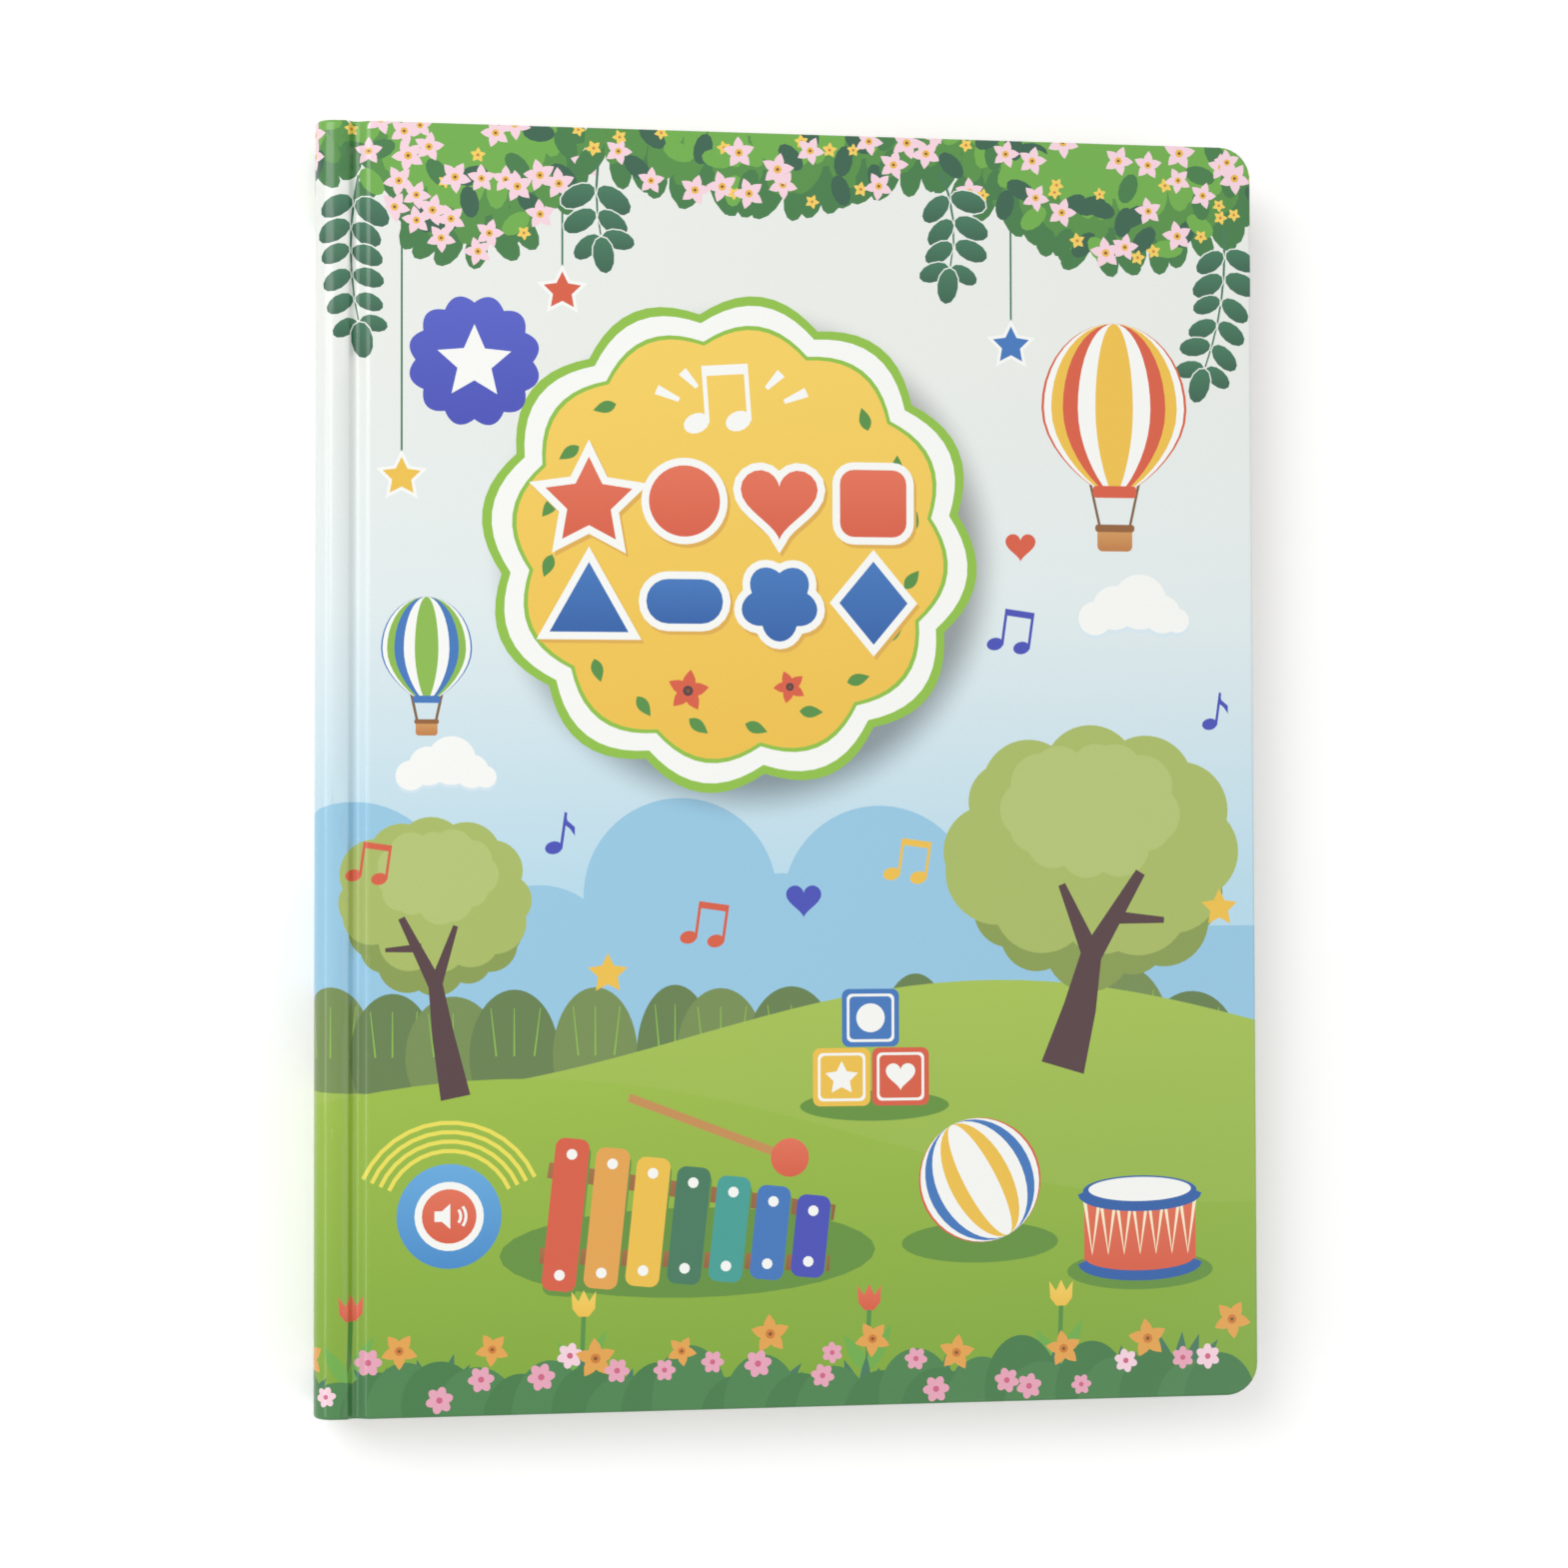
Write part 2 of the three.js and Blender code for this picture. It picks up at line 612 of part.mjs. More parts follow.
// Slide switch's knob: a handle through the panel, and a flange that keeps it in
function switchKnob() {
  const flangeLow = panelInner + seat;
  const handle = block(knobX, circuitMiddleY, knobWidth, knobDepth, controlReach, flangeLow + knobFlangeHeight);
  const flange = block(knobX, circuitMiddleY, knobFlangeWidth, knobDepth + 2 * knobFlangeMargin, flangeLow,
    flangeLow + knobFlangeHeight);
  const neck = block(knobX, circuitMiddleY, knobWidth / 2, knobDepth / 2, flangeLow,
    circuitBottom - seat - switchBodyHeight - seat);
  return joined(handle, flange, neck);
}

function volumeButton() {
  const flangeLow = panelInner + seat;
  const tactLow = circuitBottom - seat - tactBodyHeight;
  return joined(
    disc(keyX, circuitMiddleY, buttonRadius, controlReach, flangeLow + buttonFlangeHeight),
    disc(keyX, circuitMiddleY, buttonFlange, flangeLow, flangeLow + buttonFlangeHeight),
    disc(keyX, circuitMiddleY, buttonRadius / 2, flangeLow, tactLow - tactGap - buttonTravel,
      shankSides),
  );
}

function soundChip() {
  const low = circuitTop + seat;
  const dome = [[0, low]];
  for (let i = 0; i <= arcSteps; i += 1) {
    const angle = (Math.PI / 2) * (i / arcSteps);
    dome.push([chipRadius * Math.cos(angle), low + chipHeight * Math.sin(angle)]);
  }
  dome[dome.length - 1][0] = 0;
  return turned(circuitMiddleX + chipX, circuitMiddleY + chipY, dome);
}

function buttonCell(x) {
  return turned(x, bayMiddleY, [
    [0, cellBottom],
    [cellRadius - cellStep, cellBottom],
    [cellRadius - cellStep, cellBottom + cellStep],
    [cellRadius, cellBottom + cellStep],
    [cellRadius, cellTop - cellStep / 2],
    [cellRadius - cellStep / 2, cellTop],
    [0, cellTop],
  ]);
}

// Case and leaves
place('front_cover', slab(coverOutline(), frontCoverBottom, bookThickness, coverEdgeRound), covered);
place('case_spine', caseSpine(), covered);
place('back_cover', backCover(), covered);
place('page_block', pageBlock(), card);
place('spacer_board', spacerBoard(), greyBoard);

// Module housing and its door
place('module_base', moduleBase(), whitePlastic);
place('module_lid', moduleLid(), whitePlastic);
place('battery_door', batteryDoor(), whitePlastic);
place('battery_door_screw', screw(doorScrewX, bayMiddleY, panelRecess, doorScrewHeadHeight,
  doorScrewHead, doorScrewRadius, panelRecess + doorScrewLength), steel);
lidScrewPlaces().forEach(([x, y], i) => {
  place(`lid_screw_${i + 1}`, screw(x, y, lidTop - lidScrewSink, lidScrewHeadHeight, lidScrewHead,
    lidScrewRadius, spacerBottom + seat), steel);
});

// Power: cells and their contacts
const cells = cellPlaces();
cells.forEach((x, i) => place(`button_cell_${i + 1}`, buttonCell(x), steel));
place('door_contact', contact(cells[0], cells[1], contactLevel), nickelStrip);
place('minus_contact', contact(cells[2], cells[2], contactLevel, circuitBottom - seat), nickelStrip);
place('bridge_contact', contact(cells[1], cells[2], cellTop + seat), nickelStrip);
place('plus_contact', contact(cells[0], cells[0], cellTop + seat, circuitTop + seat), nickelStrip);

// Circuit board and controls
place('circuit_board', block(circuitMiddleX, circuitMiddleY, circuitWidth, circuitHeight, circuitBottom,
  circuitTop), laminate);
place('sound_chip', soundChip(), blackPlastic);
place('power_switch_body', block(circuitMiddleX + switchX, circuitMiddleY, switchBodyWidth, switchBodyDepth,
  circuitBottom - seat - switchBodyHeight, circuitBottom - seat), steel);
place('power_switch_knob', switchKnob(), blackPlastic);
place('volume_switch_body', block(keyX, circuitMiddleY, tactBody, tactBody,
  circuitBottom - seat - tactBodyHeight, circuitBottom - seat), blackPlastic);
place('volume_button', volumeButton(), blackPlastic);

// Speaker and the leads
place('speaker_frame', speakerFrame(), steel);
place('speaker_cone', speakerCone(), paperCone);
place('speaker_magnet', speakerMagnet(), steel);
place('speaker_lead_red', speakerLead(leadInsets[0]), redLead);
place('speaker_lead_black', speakerLead(leadInsets[1]), blackLead);
place('membrane_tail', membraneTail(), film);

export default book;
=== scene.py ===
import math
import random

import bpy
import numpy as np
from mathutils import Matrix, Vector
from mathutils.geometry import delaunay_2d_cdt


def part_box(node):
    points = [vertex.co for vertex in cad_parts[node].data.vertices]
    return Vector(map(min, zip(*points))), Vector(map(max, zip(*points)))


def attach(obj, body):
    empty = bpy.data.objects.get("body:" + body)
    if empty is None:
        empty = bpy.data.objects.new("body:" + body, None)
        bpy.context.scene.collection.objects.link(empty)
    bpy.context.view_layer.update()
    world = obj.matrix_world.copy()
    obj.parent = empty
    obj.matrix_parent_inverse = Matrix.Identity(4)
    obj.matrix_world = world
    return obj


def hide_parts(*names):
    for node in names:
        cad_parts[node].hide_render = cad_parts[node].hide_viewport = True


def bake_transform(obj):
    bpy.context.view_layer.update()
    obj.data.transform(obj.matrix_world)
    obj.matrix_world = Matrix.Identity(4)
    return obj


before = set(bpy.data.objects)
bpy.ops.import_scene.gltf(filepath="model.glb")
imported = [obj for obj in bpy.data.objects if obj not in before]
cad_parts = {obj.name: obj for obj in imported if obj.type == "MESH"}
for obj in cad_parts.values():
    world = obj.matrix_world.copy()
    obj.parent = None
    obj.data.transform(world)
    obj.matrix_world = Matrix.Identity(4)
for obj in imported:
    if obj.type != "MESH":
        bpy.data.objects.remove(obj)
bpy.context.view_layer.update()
print("frame loaded, nodes:", len(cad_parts))

mm = 0.001


# Sizes that the looks share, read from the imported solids
coverLow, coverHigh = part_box("front_cover")
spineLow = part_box("case_spine")[0]
backLow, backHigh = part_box("back_cover")
leavesLow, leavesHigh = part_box("page_block")
panelLow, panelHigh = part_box("module_base")

book = {
    "foreX": coverHigh[0] / mm,
    "spineX": spineLow[0] / mm,
    "headY": coverHigh[1] / mm,
    "top": coverHigh[2] / mm,
    "boardX": coverLow[0] / mm,
    "board": (coverHigh[2] - coverLow[2]) / mm,
    "corner": 7.3,
    "hingeCorner": 1.0,
    "edgeRound": 0.8,
    "shoulder": 4.5,
    "spineWall": 2.4,
    "grooveStart": 7.0,  # these two and the board's start are counted from the outside of the spine
    "grooveValley": 8.8,
    "grooveDepth": 1.6,
}
book["boardStart"] = book["boardX"] - book["spineX"]


# Colours and materials


def linear(code):
    parts = [int(code[i : i + 2], 16) / 255 for i in (0, 2, 4)]
    return tuple(c / 12.92 if c <= 0.04045 else ((c + 0.055) / 1.055) ** 2.4 for c in parts) + (1.0,)


def newMaterial(name, **settings):
    material = bpy.data.materials.new(name)
    material.use_nodes = True
    shader = material.node_tree.nodes["Principled BSDF"]
    for key, value in settings.items():
        shader.inputs[key].default_value = value
    return material, material.node_tree, shader


def addNode(tree, kind, settings=None, **links):
    node = tree.nodes.new(kind)
    for key, value in (settings or {}).items():
        if hasattr(node, key):
            setattr(node, key, value)
        else:
            node.inputs[key].default_value = value
    for key, source in links.items():
        tree.links.new(source, node.inputs[int(key[1:]) if key[0] == "i" and key[1:].isdigit() else key])
    return node


def noiseAt(tree, size, detail=2.0, stretch=(1, 1, 1)):
    place = addNode(tree, "ShaderNodeTexCoord")
    mapped = addNode(tree, "ShaderNodeMapping", {"Scale": stretch}, Vector=place.outputs["Object"])
    return addNode(tree, "ShaderNodeTexNoise", {"Scale": 1 / size, "Detail": detail}, Vector=mapped.outputs[0])


# Takes a plain number or another socket as its second value
def mathNode(tree, operation, first, second):
    node = addNode(tree, "ShaderNodeMath", {"operation": operation}, i0=first)
    if isinstance(second, float):
        node.inputs[1].default_value = second
    else:
        tree.links.new(second, node.inputs[1])
    return node.outputs[0]


def ramp(tree, source, low, high):
    node = addNode(tree, "ShaderNodeMapRange", {"To Min": low, "To Max": high}, Value=source)
    return node.outputs["Result"]


def addBump(tree, shader, source, depth):
    bump = addNode(tree, "ShaderNodeBump", {"Strength": 1.0, "Distance": depth}, Height=source)
    tree.links.new(bump.outputs["Normal"], shader.inputs["Normal"])


# Print as the colour of the faces, mottled a little by the grain under it
def printTone(tree, shader, grain):
    colour = addNode(tree, "ShaderNodeAttribute", {"attribute_name": "ink"})
    shade = addNode(tree, "ShaderNodeMix", {"data_type": "RGBA", "blend_type": "MULTIPLY"})
    shade.inputs["Factor"].default_value = 1.0
    tree.links.new(colour.outputs["Color"], shade.inputs["A"])
    tree.links.new(grain, shade.inputs["B"])
    tree.links.new(shade.outputs["Result"], shader.inputs["Base Color"])


# Base colour that drifts to a darker tone of its own
def driftTone(tree, shader, source, code, dark):
    tint = addNode(tree, "ShaderNodeMix", {"data_type": "RGBA"})
    tint.inputs["A"].default_value = linear(code)
    tint.inputs["B"].default_value = tuple(c * dark for c in linear(code)[:3]) + (1.0,)
    tree.links.new(source, tint.inputs["Factor"])
    tree.links.new(tint.outputs["Result"], shader.inputs["Base Color"])


# Offset print under a gloss film, rolled on hot: even colour, a clear top layer, and a fine orange peel
def filmedPrint():
    look = {"peel": 1.4 * mm, "peelDepth": 0.012 * mm, "grain": 0.5 * mm, "haze": 22 * mm}
    surface = {"Roughness": 0.3, "Coat Weight": 0.4, "Coat Roughness": 0.12, "Specular IOR Level": 0.32}
    material, tree, shader = newMaterial("gloss_film_over_offset_print", **surface)
    printTone(tree, shader, ramp(tree, noiseAt(tree, look["grain"], 3.0).outputs["Fac"], 0.965, 1.03))
    addBump(tree, shader, noiseAt(tree, look["peel"], 1.0).outputs["Fac"], look["peelDepth"])
    haze = noiseAt(tree, look["haze"], 4.0)
    tree.links.new(ramp(tree, haze.outputs["Fac"], 0.24, 0.36), shader.inputs["Roughness"])
    return material


# Uncoated wood-free paper, offset printed: matt, with the fibres just felt
def printedPaper(name):
    look = {"fibre": 0.6 * mm, "depth": 0.02 * mm}
    material, tree, shader = newMaterial(name, **{"Roughness": 0.62, "IOR": 1.47})
    fibre = noiseAt(tree, look["fibre"], 4.0)
    printTone(tree, shader, ramp(tree, fibre.outputs["Fac"], 0.96, 1.03))
    tree.links.new(ramp(tree, fibre.outputs["Fac"], 0.55, 0.7), shader.inputs["Roughness"])
    addBump(tree, shader, fibre.outputs["Fac"], look["depth"])
    return material


# Laminated board cut by a die: the plies show as fine lines on the edge, with torn fibres between
def cutBoard(name, pale, dark, ply):
    material, tree, shader = newMaterial(name, **{"Roughness": 0.85, "IOR": 1.45})
    plies = noiseAt(tree, ply, 3.0, (0.02, 0.02, 1.0))
    fibres = noiseAt(tree, 0.35 * mm, 3.0)
    both = mathNode(tree, "MULTIPLY", plies.outputs["Fac"], fibres.outputs["Fac"])
    colours = addNode(tree, "ShaderNodeValToRGB", None, Fac=both)
    for stop, place, code in zip(colours.color_ramp.elements, (0.12, 0.38), (dark, pale)):
        stop.position = place
        stop.color = linear(code)
    tree.links.new(colours.outputs["Color"], shader.inputs["Base Color"])
    tree.links.new(ramp(tree, fibres.outputs["Fac"], 0.75, 0.95), shader.inputs["Roughness"])
    addBump(tree, shader, both, 0.12 * mm)
    return material


# Moulded ABS from a spark-eroded tool: an even, fine satin texture
def mouldedPlastic(name, code, grit=0.25 * mm, rough=(0.38, 0.5)):
    material, tree, shader = newMaterial(name, **{"IOR": 1.53, "Base Color": linear(code)})
    texture = noiseAt(tree, grit, 2.0)
    driftTone(tree, shader, noiseAt(tree, 9 * mm, 2.0).outputs["Fac"], code, 0.93)
    tree.links.new(ramp(tree, texture.outputs["Fac"], *rough), shader.inputs["Roughness"])
    addBump(tree, shader, texture.outputs["Fac"], 0.02 * mm)
    return material


# Zinc or nickel plated steel, pressed or turned: fine drawn lines and a soft sheen
def platedMetal(name, code, lines=0.2 * mm, rough=(0.22, 0.4)):
    material, tree, shader = newMaterial(name, **{"Metallic": 1.0, "Base Color": linear(code)})
    drawn = noiseAt(tree, lines, 2.0, (0.15, 1.0, 1.0))
    tree.links.new(ramp(tree, drawn.outputs["Fac"], *rough), shader.inputs["Roughness"])
    driftTone(tree, shader, drawn.outputs["Fac"], code, 0.8)
    return material


# Inks of the print
ink = {
    "paper": "F2F3EF", "coral": "D2593C", "coralPale": "DD6D50", "blue": "245BA2", "bluePale": "3A72B6",
    "yellow": "E8BC46", "yellowPale": "EFCB5C", "badge": "4049B0", "badgePale": "505BC0", "orange": "DFA04A",
    "skyTop": "E4E7E2", "skyHigh": "DEE7E7", "skyLow": "B3D6E6", "bank": "93C3DD", "bush": "71894C",
    "bushDark": "5F7A45", "hillHigh": "97B73F", "hillLow": "76A12B", "farHigh": "A2BD4E", "farLow": "7FA836",
    "shade": "5E8C33", "leafDark": "2C5B44", "leafPale": "3C7456", "green": "4E8A3D", "greenDark": "3B763F",
    "greenPale": "6AA843", "crown": "A4B660", "crownDark": "84984A", "crownPale": "AFC070", "bark": "4D3337",
    "pink": "F1CFDA", "pinkDark": "E3A2B6", "centre": "E6B347", "eye": "7A4A1E", "line": "8BBB40",
    "teal": "3C9A90", "lime": "86B548", "pinkEye": "C9607F", "orangeEye": "C97A2B", "mound": "447E47",
    "rope": "7A5A3A", "basket": "B9773E", "basketPale": "D29A5A", "basketRim": "8C5A2E", "rail": "86572F",
    "railPale": "A06C3C", "stick": "C08A4E", "cord": "F7E9C8", "glow": "E6DA55", "spot": "3F86C4",
    "spotPale": "62A6D8", "plaqueShade": "D9A94A", "cloudShade": "D3E4EC", "cloudShadeLow": "CFE2EB",
    "cloudShadeHigh": "DDE8EC", "cream": "FBE9B2", "linen": "E9E4DA", "page": "EAF5F8", "pageHigh": "F7FAF3",
}


# Colour of an ink by its name, or of a plain code
def tone(name):
    return linear(ink.get(name, name))


# Shapes for the print, as closed lists of (x, y) points in millimetres


def oval(cx, cy, rx, ry=None, turn=0.0, count=None):
    ry = rx if ry is None else ry
    count = count or int(6 + 11 * math.sqrt(max(rx, ry)))
    c, s = math.cos(math.radians(turn)), math.sin(math.radians(turn))
    points = []
    for i in range(count):
        a = 2 * math.pi * i / count
        x, y = rx * math.cos(a), ry * math.sin(a)
        points.append((cx + x * c - y * s, cy + x * s + y * c))
    return points


def moved(points, cx, cy, turn=0.0, scale=1.0):
    c, s = math.cos(math.radians(turn)) * scale, math.sin(math.radians(turn)) * scale
    return [(cx + x * c - y * s, cy + x * s + y * c) for x, y in points]


def star(cx, cy, radius, tips=5, waist=0.5, turn=90.0):
    points = []
    for i in range(2 * tips):
        reach = radius * (1 if i % 2 == 0 else waist)
        a = math.radians(turn) + math.pi * i / tips
        points.append((cx + reach * math.cos(a), cy + reach * math.sin(a)))
    return points


def heart(cx, cy, size):
    points = []
    for i in range(36):
        t = 2 * math.pi * i / 36
        x = 16 * math.sin(t) ** 3
        y = 13 * math.cos(t) - 5 * math.cos(2 * t) - 2 * math.cos(3 * t) - math.cos(4 * t)
        points.append((cx + x * size / 32, cy + (y + 2) * size / 32))
    return points[::-1]


def softBox(x0, y0, x1, y1, radius, count=5):
    points = []
    corners = [(x1 - radius, y1 - radius, 0), (x0 + radius, y1 - radius, 90)]
    corners += [(x0 + radius, y0 + radius, 180), (x1 - radius, y0 + radius, 270)]
    for cx, cy, first in corners:
        points += arcPath(cx, cy, radius, first, first + 90, count + 1)
    return points


def scalloped(cx, cy, rx, ry, lobes, bulge, turn=0.0, steps=10):
    points = []
    for i in range(lobes * steps):
        a = 2 * math.pi * i / (lobes * steps)
        swell = 1 + bulge * abs(math.sin(lobes * a / 2))
        points.append((rx * swell * math.cos(a), ry * swell * math.sin(a)))
    return moved(points, cx, cy, turn)


def leafShape(x, y, length, width, angle, steps=7):
    upper = [(length * i / steps, width / 2 * math.sin(math.pi * (i / steps) ** 0.8)) for i in range(steps + 1)]
    lower = [(px, -py) for px, py in upper[-2:0:-1]]
    return moved((upper + lower)[::-1], x, y, angle)


def signedArea(points):
    return sum(a[0] * b[1] - b[0] * a[1] for a, b in zip(points, points[1:] + points[:1])) / 2


def grown(points, amount):
    result = []
    count = len(points)
    side = 1 if signedArea(points) > 0 else -1
    for i in range(count):
        before = Vector(points[i]) - Vector(points[i - 1])
        after = Vector(points[(i + 1) % count]) - Vector(points[i])
        normal = Vector((before.y, -before.x)).normalized() + Vector((after.y, -after.x)).normalized()
        length = max(normal.length, 0.5)
        result.append(tuple(Vector(points[i]) + normal / length * min(2 / length, 2.4) * amount * side))
    return result


def stroke(path, width, taper=None):
    taper = width if taper is None else taper
    left, right = [], []
    for i, point in enumerate(path):
        ahead = Vector(path[min(i + 1, len(path) - 1)]) - Vector(path[max(i - 1, 0)])
        normal = Vector((-ahead.y, ahead.x)).normalized()
        half = (width + (taper - width) * i / (len(path) - 1)) / 2
        left.append(tuple(Vector(point) + normal * half))
        right.append(tuple(Vector(point) - normal * half))
    return left + right[::-1]


def arcPath(cx, cy, radius, first, last, count=14):
    steps = [math.radians(first + (last - first) * i / (count - 1)) for i in range(count)]
    return [(cx + radius * math.cos(a), cy + radius * math.sin(a)) for a in steps]


def curvePath(x0, x1, height, count=40):
    return [(x0 + (x1 - x0) * i / count, height(x0 + (x1 - x0) * i / count)) for i in range(count + 1)]


# A print is a list of layers, lowest first. Each has its outline and the colour at its foot and head


def paint(layers, points, low, high=None):
    ys = [p[1] for p in points]
    points = points if signedArea(points) > 0 else points[::-1]
    layers.append({"points": points, "stops": [(min(ys), tone(low)), (max(ys), tone(high or low))]})


def rimmed(layers, points, colour, rim, high=None):
    paint(layers, grown(points, rim), "paper")
    paint(layers, points, colour, high)


def blossom(layers, x, y, radius, petal, centre, turn=0.0, petals=5, pointed=True):
    for i in range(petals):
        angle = turn + 360 * i / petals
        a = math.radians(angle)
        if pointed:
            paint(layers, leafShape(x, y, radius, 0.62 * radius, angle, 5), petal)
        else:
            px, py = x + 0.55 * radius * math.cos(a), y + 0.55 * radius * math.sin(a)
            paint(layers, oval(px, py, 0.5 * radius, 0.36 * radius, angle, 10), petal)
    paint(layers, oval(x, y, 0.25 * radius, count=8), centre)
    if pointed:
        paint(layers, oval(x, y, 0.1 * radius, count=6), "eye")


# A thin stem with pairs of oval leaves, each with a fine pale rim
def sprig(layers, x, y, pairs, angle, bend, size, rng):
    stem, leaves = [(x, y)], []
    for i in range(pairs):
        angle += bend
        a = math.radians(angle)
        x, y = x + 0.66 * size * math.cos(a), y + 0.66 * size * math.sin(a)
        stem.append((x, y))
        for side in (-1, 1):
            length = size * (1 - 0.04 * i) * rng.uniform(0.9, 1.08)
            leaves.append((x, y, length, angle + side * rng.uniform(50, 68)))
    leaves.append((x, y, size, angle))
    paint(layers, stroke(stem, 0.6, 0.35), "leafPale")
    for px, py, length, lean in leaves:
        a = math.radians(lean)
        cx, cy = px + 0.56 * length * math.cos(a), py + 0.56 * length * math.sin(a)
        paint(layers, oval(cx, cy, 0.5 * length + 0.3, 0.29 * length + 0.3, lean, 12), "skyTop")
        paint(layers, oval(cx, cy, 0.5 * length, 0.29 * length, lean, 12), "leafDark", "leafPale")


def note(layers, x, y, size, colour, pair=False, turn=-8.0):
    for dx in (0, 0.95) if pair else (0,):
        stem = [(dx + 0.2, 0), (dx + 0.3, 0), (dx + 0.3, 1.25), (dx + 0.2, 1.25)]
        paint(layers, moved(oval(dx, 0, 0.3, 0.22, 20, 14), x, y, turn, size), colour)
        paint(layers, moved(stem, x, y, turn, size), colour)
    flag = [(0.2, 1.05), (1.25, 1.05), (1.25, 1.28), (0.2, 1.28)]
    if not pair:
        flag = [(0.2, 1.3), (0.34, 0.98), (0.62, 0.8), (0.66, 0.5), (0.46, 0.72), (0.22, 0.86)]
    paint(layers, moved(flag, x, y, turn, size), colour)


# A striped envelope, as a balloon or a ball: narrower ovals in turn over the widest
def gores(layers, cx, cy, rx, ry, colours, turn=0.0, count=6, foot=0.0):
    for i in range(count):
        share = math.cos(math.pi / 2 * i / count)
        points = []
        for k in range(40):
            a = 2 * math.pi * k / 40
            pull = 1 - foot * max(0.0, -math.sin(a)) ** 2
            points.append((rx * share * pull * math.cos(a), ry * math.sin(a)))
        paint(layers, moved(points, cx, cy, turn), colours[i % len(colours)])


def cloud(layers, x, y, size, colour, shade):
    lumps = [(-1.25, 0, 0.55), (-0.6, 0.35, 0.72), (0.25, 0.55, 0.9), (1.0, 0.15, 0.62), (1.5, -0.05, 0.4)]
    for dx, dy, r in lumps:
        paint(layers, oval(x + dx * size, y + (dy - 0.12) * size, r * size), shade)
    for dx, dy, r in lumps:
        paint(layers, oval(x + dx * size, y + dy * size, r * size), colour)


def balloon(layers, x, y, size, colours):
    def band(half, low, high, corner):
        return softBox(x - half * size, y - low * size, x + half * size, y - high * size, corner * size)

    for side in (-1, 1):
        rope = [(x + side * 0.34 * size, y - 0.98 * size), (x + side * 0.2 * size, y - 1.62 * size)]
        paint(layers, stroke(rope, 0.6), "rope")
    gores(layers, x, y, size, 1.15 * size, colours, foot=0.32)
    paint(layers, band(0.3, 1.2, 1.04, 0.05), colours[0])
    paint(layers, band(0.24, 1.92, 1.58, 0.07), "basket", "basketPale")
    paint(layers, band(0.27, 1.66, 1.56, 0.04), "basketRim")


def roundTree(layers, x, foot, height, crown, seed, lean=1):
    rng = random.Random(seed)
    top = foot + height
    middle = top + 0.5 * crown
    for shade, drop, spread in (("crownDark", -0.3, 0.86), ("crown", 0.0, 1.0), ("crownPale", 0.22, 0.6)):
        for i in range(12):
            a = 2 * math.pi * i / 12 + rng.uniform(-0.15, 0.15)
            px = x + 0.7 * crown * spread * math.cos(a)
            py = middle + (drop + 0.46 * spread * math.sin(a)) * crown
            paint(layers, oval(px, py, crown * spread * rng.uniform(0.26, 0.36)), shade)
        paint(layers, oval(x, middle + drop * crown, 0.78 * crown * spread, 0.55 * crown * spread), shade)
    trunk = [(x - 0.2 * lean * crown, foot), (x - 0.08 * lean * crown, foot + 0.4 * height),
             (x, foot + 0.75 * height), (x + 0.34 * lean * crown, top + 0.3 * crown)]
    branch = [trunk[2], (x - 0.2 * lean * crown, top + 0.22 * crown)]
    twig = [(x + 0.14 * lean * crown, top), (x + 0.5 * lean * crown, top - 0.02 * crown)]
    for path, thick, thin in ((trunk, 0.3, 0.07), (branch, 0.13, 0.05), (twig, 0.09, 0.04)):
        paint(layers, stroke(path, thick * crown, thin * crown), "bark")


def tuft(layers, x, y, height, colour, rng):
    for i in range(5):
        lean = -34 + 17 * i + rng.uniform(-5, 5)
        tip = height * rng.uniform(0.7, 1.0)
        paint(layers, leafShape(x + i - 2, y, tip, 0.24 * height, 90 - lean), colour)


def tulip(layers, x, y, height, petal, shade):
    paint(layers, stroke([(x, y), (x + 0.6, y + height)], 1.0), "green")
    for length, lean in ((0.75, 62), (0.62, 122)):
        paint(layers, leafShape(x, y + 0.1 * height, length * height, 0.2 * height, lean), "greenPale")
    cup = [(-0.5, 0.9), (-0.46, 0.2), (-0.2, -0.12), (0.2, -0.12), (0.46, 0.2),
           (0.5, 0.9), (0.22, 0.5), (0, 0.95), (-0.22, 0.5)]
    paint(layers, moved(cup[::-1], x + 0.6, y + height, 0, 0.34 * height), petal, shade)


def skyAndHills(layers, x0, x1, low, high, seed):
    rng = random.Random(seed)
    sky = [(low, "skyLow"), (-30, "skyLow"), (40, "skyHigh"), (90, "skyTop"), (high, "skyTop")]
    layers[0]["stops"] = [(y, tone(name)) for y, name in sky]
    for i in range(int((x1 - x0) / 24)):
        px = x0 + 24 * i + rng.uniform(-5, 5)
        paint(layers, oval(px, -34 + rng.uniform(-12, 9), rng.uniform(16, 23)), "bank")
    paint(layers, [(x0, -90), (x1, -90), (x1, -36), (x0, -36)], "bank")
    for i in range(int((x1 - x0) / 15)):
        px = x0 + 15 * i + rng.uniform(-3, 3)
        width, tall = rng.uniform(8, 11), rng.uniform(13, 19)
        paint(layers, oval(px, -64, width, tall), "bush" if i % 2 else "bushDark")
        for lean in (-0.4, 0.0, 0.45):
            vein = [(px + lean * width, -64), (px + 1.3 * lean * width, -64 + 0.72 * tall)]
            paint(layers, stroke(vein, 0.4, 0.2), "lime")
    far = curvePath(x0, x1, lambda x: -60 + 12 * math.cos((x - 46) / 44))
    near = curvePath(x0, x1, lambda x: -84 + 15 * math.cos((x + 62) / 52))
    for crest, shade, light in ((far, "farLow", "farHigh"), (near, "hillLow", "hillHigh")):
        paint(layers, [(x0, low - 5), (x1, low - 5)] + crest[::-1], shade, light)


